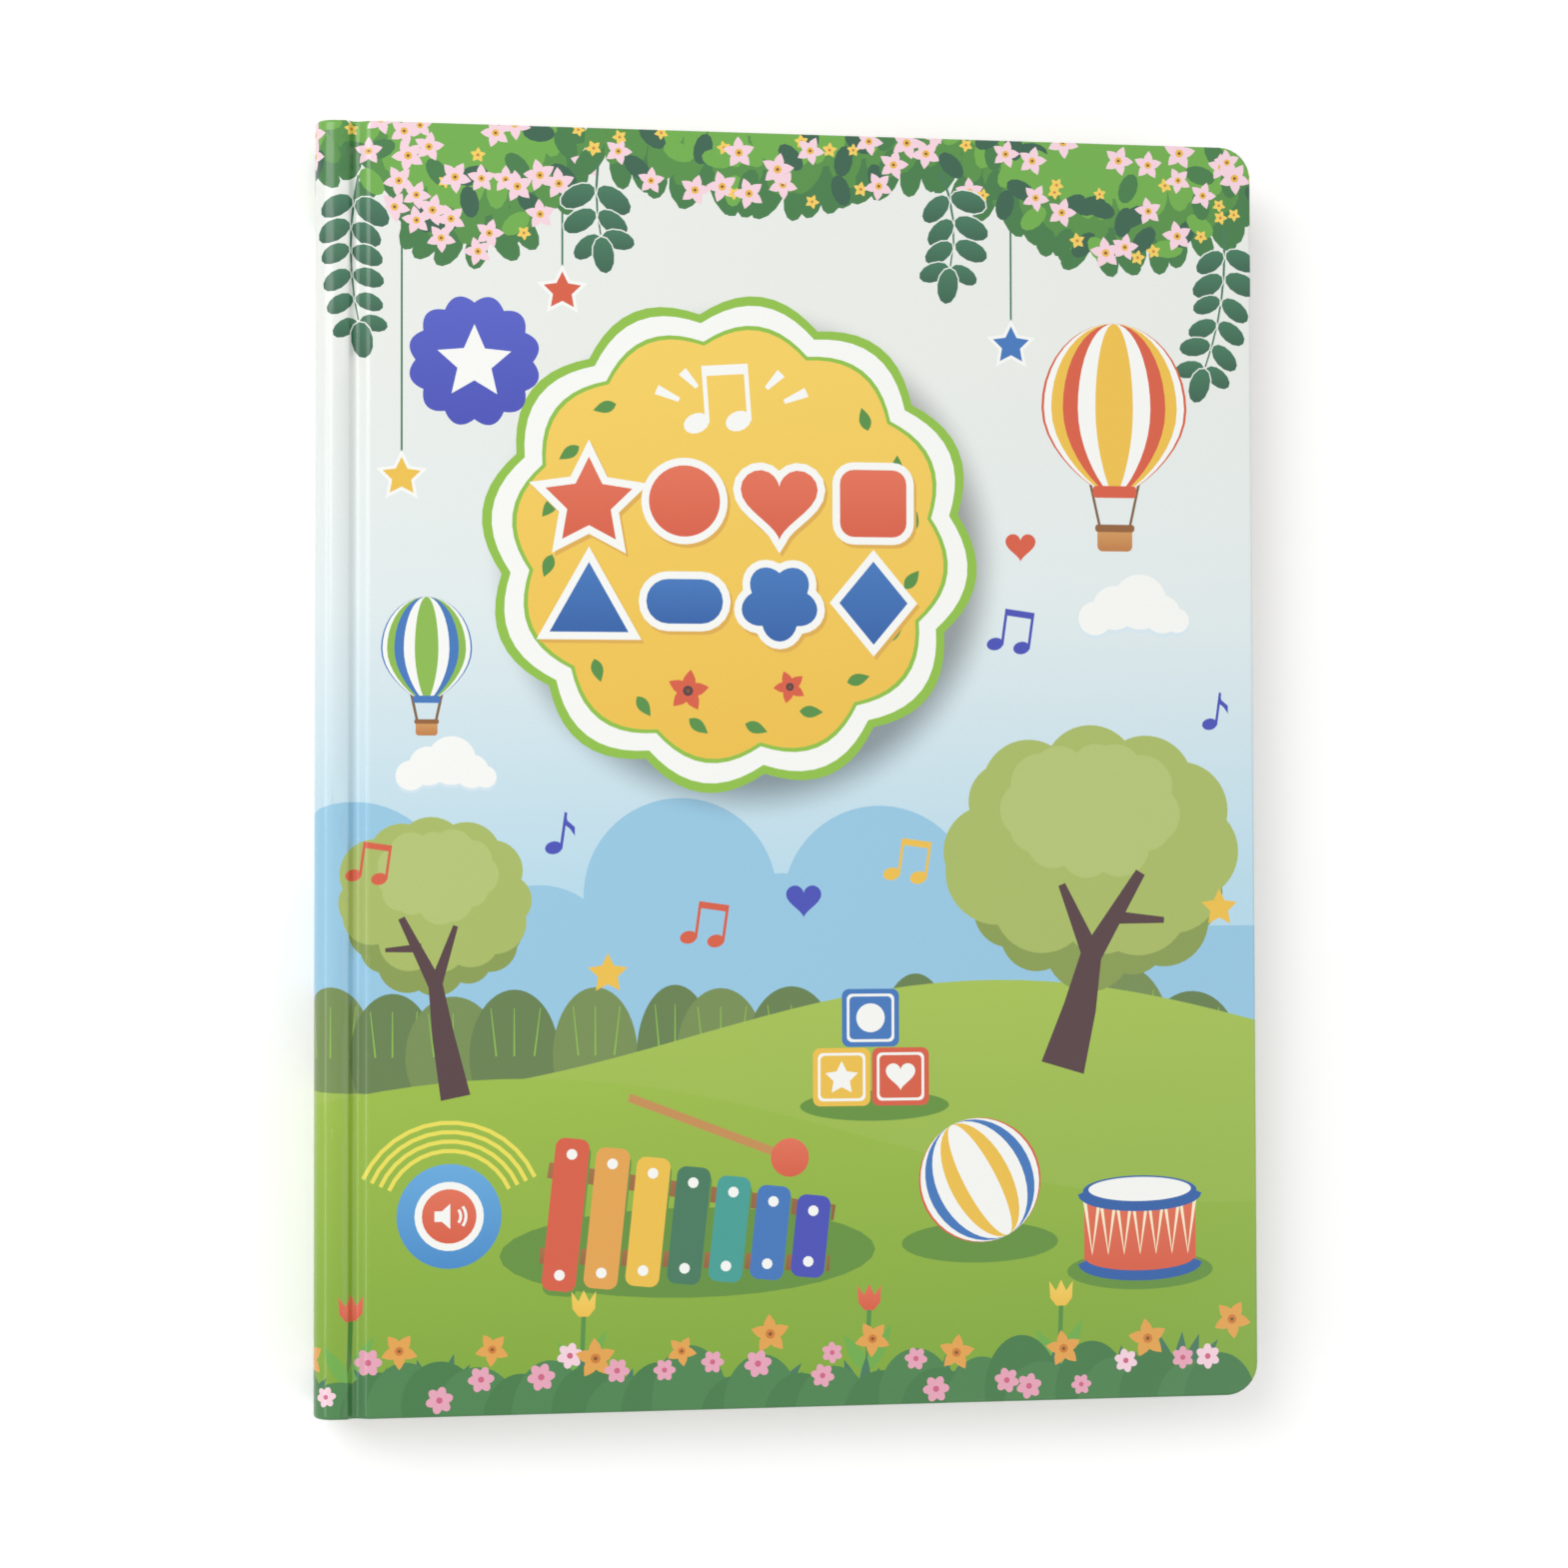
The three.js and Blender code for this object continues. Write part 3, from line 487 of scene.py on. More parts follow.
# A swag of leaves along the head, from one pin to the next, with flowers on it
def leafSwag(layers, x0, x1, head, sag, rng):
    def fall(x):
        return head - 5 - sag * math.sin(math.pi * (x - x0) / (x1 - x0))

    count = int((x1 - x0) / 4.4)
    places = [x0 + (x1 - x0) * (i + 0.5) / count for i in range(count)]
    for shade, lift in (("greenDark", 0.0), ("green", 5.5), ("greenPale", 13.0)):
        edge = [(x, fall(x) + lift) for x in places]
        paint(layers, edge + [(x1, head + 9), (x0, head + 9)], shade)
        for x, y in edge:
            lean = rng.uniform(-42, 42)
            paint(layers, oval(x + 0.05 * lean, y - 1.6, 4.8 * rng.uniform(0.8, 1.1), 2.5, lean - 90, 12), shade)
    for x in places:
        for lift in (1.0, 8.0, 15.0):
            y = fall(x) + lift + rng.uniform(-2, 2)
            if y < head + 3 and rng.random() < 0.6:
                dark = rng.choice(["leafDark", "greenDark", "greenPale"])
                paint(layers, oval(x + rng.uniform(-2, 2), y, 3.6, 2.1, rng.uniform(0, 180), 12), dark)
    for x in places:
        for lift in (0.0, 7.0, 14.0, 21.0):
            y = fall(x) + lift + rng.uniform(-2.4, 2.4)
            pick = rng.random()
            if y > head + 1 or pick < 0.36:
                continue
            small, large, petal, heartTone = 1.5, 1.9, "yellowPale", "orange"
            if pick < 0.78:
                small, large, petal, heartTone = 3.1, 3.9, "pink", "centre"
            px, radius, turn = x + rng.uniform(-2, 2), rng.uniform(small, large), rng.uniform(0, 72)
            blossom(layers, px, y, radius, petal, heartTone, turn)


def hangingStar(layers, x, head, drop, colour):
    paint(layers, stroke([(x, head), (x, head - drop)], 0.45), "leafPale")
    rimmed(layers, star(x, head - drop - 3, 4.4), colour, 0.7)


# A round scalloped medallion with two rows of plain shapes in coral and blue
def medallion(layers, cx, cy, radius):
    bands = [(0.0, "line"), (2.0, "paper"), (6.2, "line"), (7.1, "yellow")]
    for inset, name in bands:
        reach = radius - inset
        light = "yellowPale" if name == "yellow" else None
        paint(layers, scalloped(cx, cy, reach, reach, 12, 0.08, 8), name, light)
        if inset == 0.0:
            layers[-1]["casts"] = True
    inner = radius - bands[-1][0]
    for i in range(20):
        a = math.radians(18 * i + 4)
        if abs(math.degrees(a) - 90) > 32:
            x, y = cx + inner * 0.9 * math.cos(a), cy + inner * 0.9 * math.sin(a)
            paint(layers, leafShape(x, y, 5.4, 2.7, 18 * i + 70), "green")
    up, down, step = cy + 9.5, cy - 13, 21.4
    left = cx - 1.5 * step
    coralRow = [star(left, up - 0.6, 10.2), oval(left + step, up, 8), heart(left + 2 * step, up - 0.4, 17.5),
                softBox(left + 3 * step - 7.6, up - 7.6, left + 3 * step + 7.6, up + 7.6, 3.2)]
    blueRow = [moved([(-8.8, -7), (8.8, -7), (0, 8.6)], left, down),
               softBox(left + step - 8.6, down - 5, left + step + 8.6, down + 5, 4.9),
               scalloped(left + 2 * step, down, 6.6, 6.6, 5, 0.34, 18),
               moved([(7.8, 0), (0, 9.4), (-7.8, 0), (0, -9.4)], left + 3 * step, down)]
    for row, low, high in ((coralRow, "coral", "coralPale"), (blueRow, "blue", "bluePale")):
        for points in row:
            paint(layers, moved(grown(points, 1.7), 0.6, -0.8), "plaqueShade")
            rimmed(layers, points, low, 1.7, high)
    note(layers, cx - 8, cy + 27, 10.0, "paper", pair=True, turn=4)
    for side in (-1, 1):
        for lean in (34, 58):
            a = math.radians(90 - side * lean)
            ray = [(cx + reach * math.cos(a), cy + 27 + 0.7 * reach * math.sin(a)) for reach in (14, 20)]
            paint(layers, stroke(ray, 1.0, 2.2), "paper")
    blossom(layers, cx - 10, cy - 33, 4.8, "coral", "bark", 10)
    blossom(layers, cx + 13, cy - 32, 3.8, "coral", "bark", 40)


def starBadge(layers, cx, cy, radius):
    paint(layers, scalloped(cx, cy, radius, radius, 12, 0.13), "badge", "badgePale")
    paint(layers, star(cx, cy - 0.4, radius * 0.66, waist=0.46), "paper")


def xylophone(layers, cx, cy, turn, size=1.0):
    def put(points):
        return moved(points, cx, cy, turn, size)

    for side in (-1, 1):
        paint(layers, put(stroke([(-24, side * 7.0), (24, side * 4.2)], 2.6)), "rail", "railPale")
    for i, name in enumerate(("coral", "orange", "yellow", "leafPale", "teal", "bluePale", "badge")):
        half, x = 12.5 - 0.95 * i, -20.4 + 6.8 * i
        paint(layers, put(softBox(x - 2.6, -half - 0.8, x + 3.1, half - 0.8, 1.5)), "shade")
        paint(layers, put(softBox(x - 2.8, -half, x + 2.8, half, 1.5)), name)
        for side in (-1, 1):
            paint(layers, put(oval(x, side * (half - 2.6), 0.9, count=10)), "paper")
    paint(layers, put(stroke([(-12, 20), (14, 13)], 1.4)), "stick")
    paint(layers, put(oval(15.6, 12.6, 3.2)), "coral", "coralPale")


def lowerArc(cx, cy, rx, ry):
    steps = [math.radians(a) for a in range(180, 361, 12)]
    return [(cx + rx * math.cos(a), cy - ry * abs(math.sin(a))) for a in steps]


def drum(layers, cx, cy, width, height):
    half = width / 2
    side = lowerArc(cx, cy, half, 0.24 * half)
    paint(layers, side + [(cx + half, cy + height), (cx - half, cy + height)], "coral", "coralPale")
    for i in range(7):
        x0 = cx - half + width * i / 7
        x1 = cx - half + width * (i + 1) / 7
        zig = [(x0, cy + height * 0.95), ((x0 + x1) / 2, cy + 0.12 * height), (x1, cy + height * 0.95)]
        paint(layers, stroke(zig, 0.9), "cord")
    for level in (0.0, height * 0.98):
        paint(layers, stroke(lowerArc(cx, cy + level, half * 1.03, 0.25 * half), 2.3), "blue")
    paint(layers, oval(cx, cy + height, half * 1.02, 0.26 * half), "blue")
    paint(layers, oval(cx, cy + height + 0.3, half * 0.92, 0.21 * half), "paper")


def toyBlock(layers, x, y, size, colour, motif):
    for inset, corner, name in ((0, 1.6, colour), (1.1, 1.2, "paper"), (1.7, 1.0, colour)):
        paint(layers, softBox(x + inset, y + inset, x + size - inset, y + size - inset, corner), name)
    cx, cy = x + size / 2, y + size / 2
    shapes = {
        "star": star(cx, cy - 0.3, size * 0.3),
        "heart": heart(cx, cy, size * 0.52),
        "disc": oval(cx, cy, size * 0.25),
    }
    paint(layers, shapes[motif], "paper")


def soundSpot(layers, cx, cy, radius, arcs=True):
    if arcs:
        for i in range(4):
            paint(layers, stroke(arcPath(cx, cy, radius * (1.25 + 0.18 * i), 24, 156), 0.9), "glow")
    paint(layers, oval(cx, cy, radius, count=36), "spot", "spotPale")
    paint(layers, oval(cx, cy, 0.66 * radius, count=30), "paper")
    paint(layers, oval(cx, cy, 0.52 * radius, count=30), "coral", "coralPale")
    horn = [(-0.22, -0.1), (-0.08, -0.1), (0.08, -0.24), (0.08, 0.24), (-0.08, 0.1), (-0.22, 0.1)]
    paint(layers, moved(horn, cx - 0.06 * radius, cy, 0, radius), "paper")
    for reach in (0.2, 0.3):
        paint(layers, stroke(arcPath(cx + 0.02 * radius, cy, reach * radius, -38, 38, 8), 0.055 * radius), "paper")


def meadowEdge(layers, x0, x1, low, seed):
    rng = random.Random(seed)
    for i in range(int((x1 - x0) / 14)):
        px, py = x0 + 14 * i + rng.uniform(-4, 4), low + rng.uniform(1, 4)
        tuft(layers, px, py, rng.uniform(9, 13), "leafPale", rng)
    for i in range(int((x1 - x0) / 8)):
        px = x0 + 8 * i + rng.uniform(-2, 2)
        mound = oval(px, low + rng.uniform(-3, 3), 8.5, rng.uniform(8, 13))
        paint(layers, mound, "greenDark" if i % 2 else "mound")
    for i in range(int((x1 - x0) / 7)):
        px, py = x0 + 7 * i + rng.uniform(-3, 3), low + rng.uniform(2, 13)
        if i % 3:
            radius, petal = rng.uniform(2.2, 3.0), rng.choice(["pink", "pinkDark"])
            blossom(layers, px, py, radius, petal, "pinkEye", rng.uniform(0, 72), 6, False)
        else:
            blossom(layers, px, py + 6, rng.uniform(3.4, 4.6), "orange", "orangeEye", rng.uniform(0, 72))


plaque = {"x": -14.0, "y": 50.0, "radius": 52.0}


def frontArt(sheet):
    layers = [{"points": sheet, "stops": []}]
    head, tail = book["headY"], -book["headY"]
    x0, x1 = -150, book["foreX"] + 4
    stripes = ["coral", "paper", "bluePale", "paper", "yellow", "paper"]
    skyAndHills(layers, x0, x1, tail, head, 4)
    cloud(layers, 78, 34, 7, "paper", "cloudShade")
    cloud(layers, -78, -2, 6, "paper", "cloudShadeLow")
    roundTree(layers, -80, -73, 33, 22, 3, -1)
    roundTree(layers, 68, -68, 34, 34, 8, 1)
    rng = random.Random(11)
    for x, drop, name in ((-52, 24, "coral"), (50, 34, "bluePale"), (-87.5, 66, "yellow")):
        hangingStar(layers, x, head - 10, drop, name)
    for a, b, sag in ((-146, -100, 10), (-100, -46, 22), (-46, 34, 9), (34, 118, 20)):
        leafSwag(layers, a, b, head, sag, rng)
    sprigs = ((-97, 131, 6, -104, 4), (-44, 135, 3, -100, 6), (34, 135, 4, -62, -9), (100, 124, 6, -84, -4))
    for x, y, pairs, angle, bend in sprigs:
        sprig(layers, x, y, pairs, angle, bend, 8.2, rng)
    balloon(layers, 74, 82, 17, ["coral", "paper", "yellow"])
    balloon(layers, -82, 26, 10, ["bluePale", "paper", "lime"])
    medallion(layers, plaque["x"], plaque["y"], plaque["radius"])
    starBadge(layers, -71.5, 90, 13)
    notes = ((-54, -18, 6.5, "badge", False), (22, -24, 6.5, "yellow", True), (96, 10, 6, "badge", False),
             (-98, -24, 6, "coral", True), (46, 28, 6.5, "badge", True), (-24, -38, 6.5, "coral", True))
    for x, y, size, name, pair in notes:
        note(layers, x, y, size, name, pair)
    loose = ((heart(2, -30, 8), "badge"), (star(-42, -46, 4.6), "yellow"),
             (heart(52, 50, 7), "coral"), (star(98, -32, 4.4), "yellow"))
    for points, name in loose:
        paint(layers, points, name)
    for cx, cy, rx, ry in ((-24, -108, 42, 10), (42, -107, 18, 4.6), (79, -114, 17, 4.4), (18, -76, 17, 3.4)):
        paint(layers, oval(cx, cy, rx, ry, count=32), "shade")
    xylophone(layers, -24, -102, -6, 1.35)
    gores(layers, 42, -93, 14, 14, stripes, 28)
    drum(layers, 79, -112, 26, 16)
    blocks = ((4, -76, "yellow", "star"), (17.4, -76, "coral", "heart"), (10.6, -62.8, "bluePale", "disc"))
    for x, y, name, motif in blocks:
        toyBlock(layers, x, y, 13, name, motif)
    soundSpot(layers, -77, -99, 11.5)
    for x, name in ((-99, "coral"), (-48, "yellow"), (16, "coral"), (60, "yellow")):
        tulip(layers, x, tail + 6, 16, name, name + "Pale")
    meadowEdge(layers, x0, x1, tail, 21)
    return layers


def backArt(sheet):
    layers = [{"points": sheet, "stops": []}]
    head, tail = book["headY"], -book["headY"]
    x0, x1 = -112, book["foreX"] + 6
    skyAndHills(layers, x0, x1, tail, head, 9)
    cloud(layers, -40, 70, 9, "paper", "cloudShadeHigh")
    cloud(layers, 55, 30, 8, "paper", "cloudShade")
    rng = random.Random(5)
    for a, b, sag in ((-112, -40, 14), (-40, 34, 10), (34, 118, 16)):
        leafSwag(layers, a, b, head, sag, rng)
    sprig(layers, -40, 136, 5, -100, 5, 8.2, rng)
    sprig(layers, 34, 136, 5, -70, -6, 8.2, rng)
    roundTree(layers, -64, -70, 26, 26, 12)
    balloon(layers, 6, 34, 15, ["coral", "paper", "yellow"])
    starBadge(layers, 74, 84, 13)
    meadowEdge(layers, x0, x1, tail, 31)
    return layers


# Even or graded ground, with stops well outside the sheet
def evenGround(sheet, low, high):
    return [{"points": sheet, "stops": [(-200, tone(low)), (200, tone(high))]}]


# Pale lining with a loose scatter of stars and dots
def liningArt(sheet, seed, ground="cream"):
    layers = evenGround(sheet, ground, ground)
    rng = random.Random(seed)
    tones = ["F2B63C", "E98B6F", "8FC7E0", "A6D46A", "FFFFFF"]  # amber, salmon, sky, apple, white
    for row in range(17):
        for column in range(16):
            x = -140 + 17 * column + (8.5 if row % 2 else 0) + rng.uniform(-1.5, 1.5)
            y = -138 + 17 * row + rng.uniform(-1.5, 1.5)
            name = rng.choice(tones)
            shape = star(x, y, 3.4, turn=rng.uniform(0, 72)) if (row + column) % 2 else oval(x, y, 1.7, count=14)
            paint(layers, shape, name)
    return layers


# First page: a grid of pale cards, each with one plain object and a round spot to press
def pageArt(sheet, width, height, cx):
    layers = evenGround(sheet, "page", "pageHigh")
    tones = ["FBE3DD", "FDF0C8", "DDF0D2", "D6EAF6", "E7E0F5", "FDE6CF"]  # rose, butter, mint, sky, lilac, peach
    columns, rows = 3, 4
    cellX, cellY = (width - 16) / columns, (height - 24) / rows
    for row in range(rows):
        for column in range(columns):
            k = row * columns + column
            x0 = cx - width / 2 + 8 + cellX * column
            y0 = -height / 2 + 8 + cellY * row
            mx, my = x0 + cellX / 2, y0 + cellY / 2 + 3
            paint(layers, softBox(x0 + 3, y0 + 3, x0 + cellX - 3, y0 + cellY - 3, 6), tones[k % len(tones)])
            kind = k % 6
            if kind == 0:
                gores(layers, mx, my, 15, 15, ["coral", "paper", "bluePale", "paper"], 25)
            elif kind == 1:
                drum(layers, mx, my - 9, 28, 17)
            elif kind == 2:
                roundTree(layers, mx, my - 20, 14, 12, k)
            elif kind == 3:
                balloon(layers, mx, my + 6, 12, ["yellow", "paper", "coral"])
            elif kind == 4:
                tulip(layers, mx, my - 18, 26, "coral", "coralPale")
            else:
                cloud(layers, mx, my, 11, "paper", "skyLow")
            soundSpot(layers, x0 + cellX - 11, y0 + 11, 4.6, arcs=False)
    return layers


# A sheet's outline, and how far inside it a point lies


def sheetOutline(x0, x1, half, radii, count=8):
    points = []
    left, right = radii
    corners = [(x1, half, right, 0), (x0, half, left, 90), (x0, -half, left, 180), (x1, -half, right, 270)]
    for x, y, radius, first in corners:
        if radius == 0:
            points.append((x, y))
            continue
        cx, cy = x - math.copysign(radius, x - (x0 + x1) / 2), y - math.copysign(radius, y)
        points += arcPath(cx, cy, radius, first, first + 90, count + 1)
    return points


# Distance inside a rectangle with rounded corners, and the way further in
def insideBy(x, y, rect):
    x0, x1, y0, y1, leftRadius, rightRadius = rect
    cx, cy = (x0 + x1) / 2, (y0 + y1) / 2
    radius = rightRadius if x > cx else leftRadius
    px, py = abs(x - cx) - ((x1 - x0) / 2 - radius), abs(y - cy) - ((y1 - y0) / 2 - radius)
    sx, sy = math.copysign(1, x - cx), math.copysign(1, y - cy)
    if px > 0 and py > 0:
        far = math.hypot(px, py)
        return radius - far, (-sx * px / far, -sy * py / far)
    if px > py:
        return radius - px, (-sx, 0.0)
    return radius - py, (0.0, -sy)


# Index of the topmost outline over each place, filled as a pen would fill an outline that crosses itself
def topmost(loops, places):
    top = np.full(len(places), -1)
    order = np.argsort(places[:, 0])
    sortedX = places[order, 0]
    for index, loop in enumerate(loops):
        outline = np.array(loop)
        low, high = outline.min(axis=0), outline.max(axis=0)
        near = order[np.searchsorted(sortedX, low[0]) : np.searchsorted(sortedX, high[0])]
        near = near[(places[near, 1] > low[1]) & (places[near, 1] < high[1])]
        (ax, ay), (bx, by) = outline.T, np.roll(outline, -1, axis=0).T
        px, py = places[near, 0][:, None], places[near, 1][:, None]
        side = (bx - ax) * (py - ay) - (px - ax) * (by - ay)
        upward = ((ay <= py) & (by > py) & (side > 0)).sum(axis=1)
        downward = ((ay > py) & (by <= py) & (side < 0)).sum(axis=1)
        top[near[upward != downward]] = index
    return top


# Cuts a sheet along every outline of its print, so that each face has one colour
def partition(layers, guides, holes=(), shadow=None):
    points, edges = [], []
    loops = [layer["points"] for layer in layers]
    for line, closed in [(loop, True) for loop in loops + list(holes)] + guides:
        ids = list(range(len(points), len(points) + len(line)))
        points.extend(Vector(p) for p in line)
        edges += list(zip(ids, ids[1:] + ids[:1])) if closed else list(zip(ids, ids[1:]))
    corners, _, triangles = delaunay_2d_cdt(points, edges, [], 0, 1e-5)[:3]
    flat = np.array([tuple(c) for c in corners])
    middles = flat[np.array(triangles)].mean(axis=1)
    top = topmost(loops, middles)
    kept = (topmost(loops[:1], middles) == 0) & (topmost(holes, middles) < 0)
    faces = [triangles[i] for i in np.flatnonzero(kept)]
    inks = [[inkAt(layers, top[i], corners[k], shadow) for k in triangles[i]] for i in np.flatnonzero(kept)]
    return corners, faces, inks


def inkAt(layers, top, point, shadow):
    stops = layers[top]["stops"]
    y = point[1]
    colour = stops[-1][1]
    if y <= stops[0][0]:
        colour = stops[0][1]
    else:
        for (y0, low), (y1, high) in zip(stops, stops[1:]):
            if y <= y1:
                share = (y - y0) / max(y1 - y0, 1e-6)
                colour = tuple(a + (b - a) * share for a, b in zip(low, high))
                break
    if shadow and top < shadow["below"]:
        dim = shadow["depth"](point[0], point[1])
        colour = tuple(c * (1 - dim) for c in colour[:3]) + (1.0,)
    return colour


def inksByEdge(triangles, inks):
    return {(t[i], t[(i + 1) % 3]): (cs[i], cs[(i + 1) % 3]) for t, cs in zip(triangles, inks) for i in range(3)}


def boundaryLoops(triangles):
    ahead = {}
    edges = {(t[i], t[(i + 1) % 3]) for t in triangles for i in range(3)}
    for a, b in edges:
        if (b, a) not in edges:
            ahead[a] = b
    loops = []
    while ahead:
        start = next(iter(ahead))
        loop, at = [], start
        while at in ahead:
            loop.append(at)
            at = ahead.pop(at)
        loops.append(loop)
    return loops


# A printed board as one closed mesh: print outside, rounded rims, lining inside
def coveredBoard(name, layers, liningOf, guides, place, rim, holes, shadow, flip, materials):
    corners, triangles, inks = partition(layers, guides, holes, shadow)
    used = sorted({i for t in triangles for i in t})
    renumber = {old: new for new, old in enumerate(used)}
    flat = [tuple(corners[i]) for i in used]
    triangles = [[renumber[i] for i in t] for t in triangles]
    vertices = [place(x, y, rim(x, y)[1], False) for x, y in flat]
    faces, slots, colours = list(triangles), [0] * len(triangles), [c for t in inks for c in t]
    edgeInks = inksByEdge(triangles, inks)
    innerLoops, innerIds = [], []
    for loop in boundaryLoops(triangles):
        last = loop
        for step in rimSteps:
            ring = []
            for i in loop:
                x, y = flat[i]
                inward, radius = rim(x, y)[2:]
                inset = step["inset"] * radius
                px, py = x + inward[0] * inset, y + inward[1] * inset
                vertices.append(place(px, py, (step["low"], step["high"], radius), True))
                ring.append(len(vertices) - 1)
            for k in range(len(loop)):
                n = (k + 1) % len(loop)
                faces.append([last[n], last[k], ring[k], ring[n]])
                slots.append(0)
                near, far = edgeInks[loop[k], loop[n]]
                colours += [far, near, near, far]
            last = ring
        reach = rimSteps[-1]["inset"]
        innerLoop = []
        for x, y in (flat[i] for i in loop):
            inward, radius = rim(x, y)[2:]
            innerLoop.append((x + inward[0] * reach * radius, y + inward[1] * reach * radius))
        innerLoops.append(innerLoop)
        innerIds.append(last)
    sizes = [abs(signedArea(loop)) for loop in innerLoops]
    outer = sizes.index(max(sizes))
    innerHoles = [loop for k, loop in enumerate(innerLoops) if k != outer]
    lining = liningOf(innerLoops[outer])
    inner = [g for g in guides if not g[1]] + [(grown(innerLoops[outer], -0.3), True)]
    inner += [(grown(loop, 0.3), True) for loop in innerHoles]
    inside, insideFaces, insideInks = partition(lining, inner, innerHoles)
    known = {}
    for loop, ids in zip(innerLoops, innerIds):
        for point, i in zip(loop, ids):
            known[(round(point[0], 3), round(point[1], 3))] = i
    ids = []
    for x, y in inside:
        key = (round(x, 3), round(y, 3))
        if key not in known:
            vertices.append(place(x, y, None, True))
            known[key] = len(vertices) - 1
        ids.append(known[key])
    for triangle, tones in zip(insideFaces, insideInks):
        faces.append([ids[i] for i in triangle[::-1]])
        slots.append(1)
        colours += tones[::-1]
    if flip:
        faces = [f[::-1] for f in faces]
        turned, at = [], 0
        for f in faces:
            turned += colours[at : at + len(f)][::-1]
            at += len(f)
        colours = turned
    return meshPiece(name, vertices, faces, slots, colours, materials)


# How the rim goes round the board's edge: inset and drop in edge radii, low counted from the inner face
rimSteps = [
    {"inset": 0.0, "low": 1.0, "high": None},
    {"inset": 0.13, "low": 0.5, "high": None},
    {"inset": 0.5, "low": 0.13, "high": None},
    {"inset": 1.0, "low": 0.0, "high": None},
]


def meshPiece(name, vertices, faces, slots, colours, materials):
    mesh = bpy.data.meshes.new(name)
    mesh.from_pydata([tuple(c * mm for c in v) for v in vertices], [], faces)
    for material in materials:
        mesh.materials.append(material)
    mesh.polygons.foreach_set("material_index", slots)
    mesh.polygons.foreach_set("use_smooth", [True] * len(faces))
    layer = mesh.color_attributes.new("ink", "FLOAT_COLOR", "CORNER")
    layer.data.foreach_set("color", [c for colour in colours for c in colour])
    mesh.validate(clean_customdata=False)
    mesh.update()
    piece = bpy.data.objects.new(name, mesh)
    bpy.context.scene.collection.objects.link(piece)
    return piece


# The jacket's developed length runs on round the spine: front board, groove, shoulder, spine, shoulder, groove


def grooveDip(distance):
    if distance <= book["grooveStart"] or distance >= book["boardStart"]:
        return 0.0
    side = book["grooveStart"] if distance < book["grooveValley"] else book["boardStart"]
    share = (distance - side) / (book["grooveValley"] - side)
    return book["grooveDepth"] * (0.5 - 0.5 * math.cos(math.pi * share))


sliver = 0.001  # how far a cut may stray from its line
shoulderX = book["spineX"] + book["shoulder"]
arcLength = book["shoulder"] * math.pi / 2
flatLength = book["top"] - 2 * book["shoulder"]
jacketEnd = shoulderX - 2 * arcLength - flatLength - (book["boardX"] - shoulderX)


# Surface point and outward direction (x and z only) at a developed length, with the wall behind it
def jacketAt(s):
    r, top = book["shoulder"], book["top"]
    if s >= book["boardX"] - sliver:
        return s, top, (0.0, 1.0), book["board"]
    if s >= shoulderX:
        dip = grooveDip(s - book["spineX"])
        return s, top - dip, (0.0, 1.0), book["spineWall"] - dip
    along = shoulderX - s
    if along <= arcLength:
        sine, cosine = math.sin(along / r), math.cos(along / r)
        return shoulderX - r * sine, top - r + r * cosine, (-sine, cosine), book["spineWall"]
    if along <= arcLength + flatLength:
        return book["spineX"], top - r - (along - arcLength), (-1.0, 0.0), book["spineWall"]
    along -= arcLength + flatLength
    if along <= arcLength:
        sine, cosine = math.sin(along / r), math.cos(along / r)
        return shoulderX - r * cosine, r - r * sine, (-cosine, -sine), book["spineWall"]
    x = shoulderX + along - arcLength
    dip = grooveDip(x - book["spineX"])
    return x, dip, (0.0, -1.0), book["spineWall"] - dip


def roundDrop(inside, radius):
    if inside >= radius:
        return 0.0
    reach = radius - max(inside, 0.0)
    return radius - math.sqrt(max(radius * radius - reach * reach, 0.0))


jacketRect = (-600, book["foreX"], -book["headY"], book["headY"], 0.0, book["corner"])


def jacketRim(s, y):
    wall = jacketAt(s)[3]
    radius = min(book["edgeRound"], 0.45 * wall)
    inside, inward = insideBy(s, y, jacketRect)
    atEnd = s <= jacketEnd + 1e-4 and inside > 1e-4
    return inside, roundDrop(inside, radius), (0.0, 0.0) if atEnd else inward, radius


def jacketPlace(s, y, drop, under):
    x, z, (nx, nz), wall = jacketAt(s)
    if not under:
        depth = drop
    elif drop is None:
        depth = wall
    else:
        depth = wall - drop[0] * drop[2]
    return x - nx * depth, y, z - nz * depth


def ringGuides(rect, left):
    x0, x1, y0, y1, leftRadius, rightRadius = rect
    rings = []
    for inset in (0.06, 0.24, 0.5, 0.8, 1.0):
        radii = (max(leftRadius - inset, 0.0), rightRadius - inset)
        rings.append((sheetOutline(left if left else x0 + inset, x1 - inset, y1 - inset, radii), True))
    return rings


def jacketGuides():
    look = {"frontGroove": 0.3, "backGroove": 0.4, "arc": 8, "rows": 24}
    half = book["headY"]
    curved = [book["spineX"] + book["grooveStart"] + look["frontGroove"] * i for i in range(1, 17)]
    curved += [book["boardX"] + look["frontGroove"], book["boardX"], shoulderX]
    curved += [shoulderX - arcLength * i / look["arc"] for i in range(1, 9)]
    backShoulder = shoulderX - arcLength - flatLength
    curved += [backShoulder - arcLength * i / look["arc"] for i in range(9)]
    backGroove = backShoulder - arcLength - (book["grooveStart"] - book["shoulder"])
    curved += [backGroove - look["backGroove"] * i for i in range(12)]
    lines = [([(s, -half), (s, half)], False) for s in curved]
    for i in range(1, look["rows"]):
        y = -half + 2 * half * i / look["rows"]
        lines.append(([(jacketEnd, y), (book["foreX"], y)], False))
    return lines


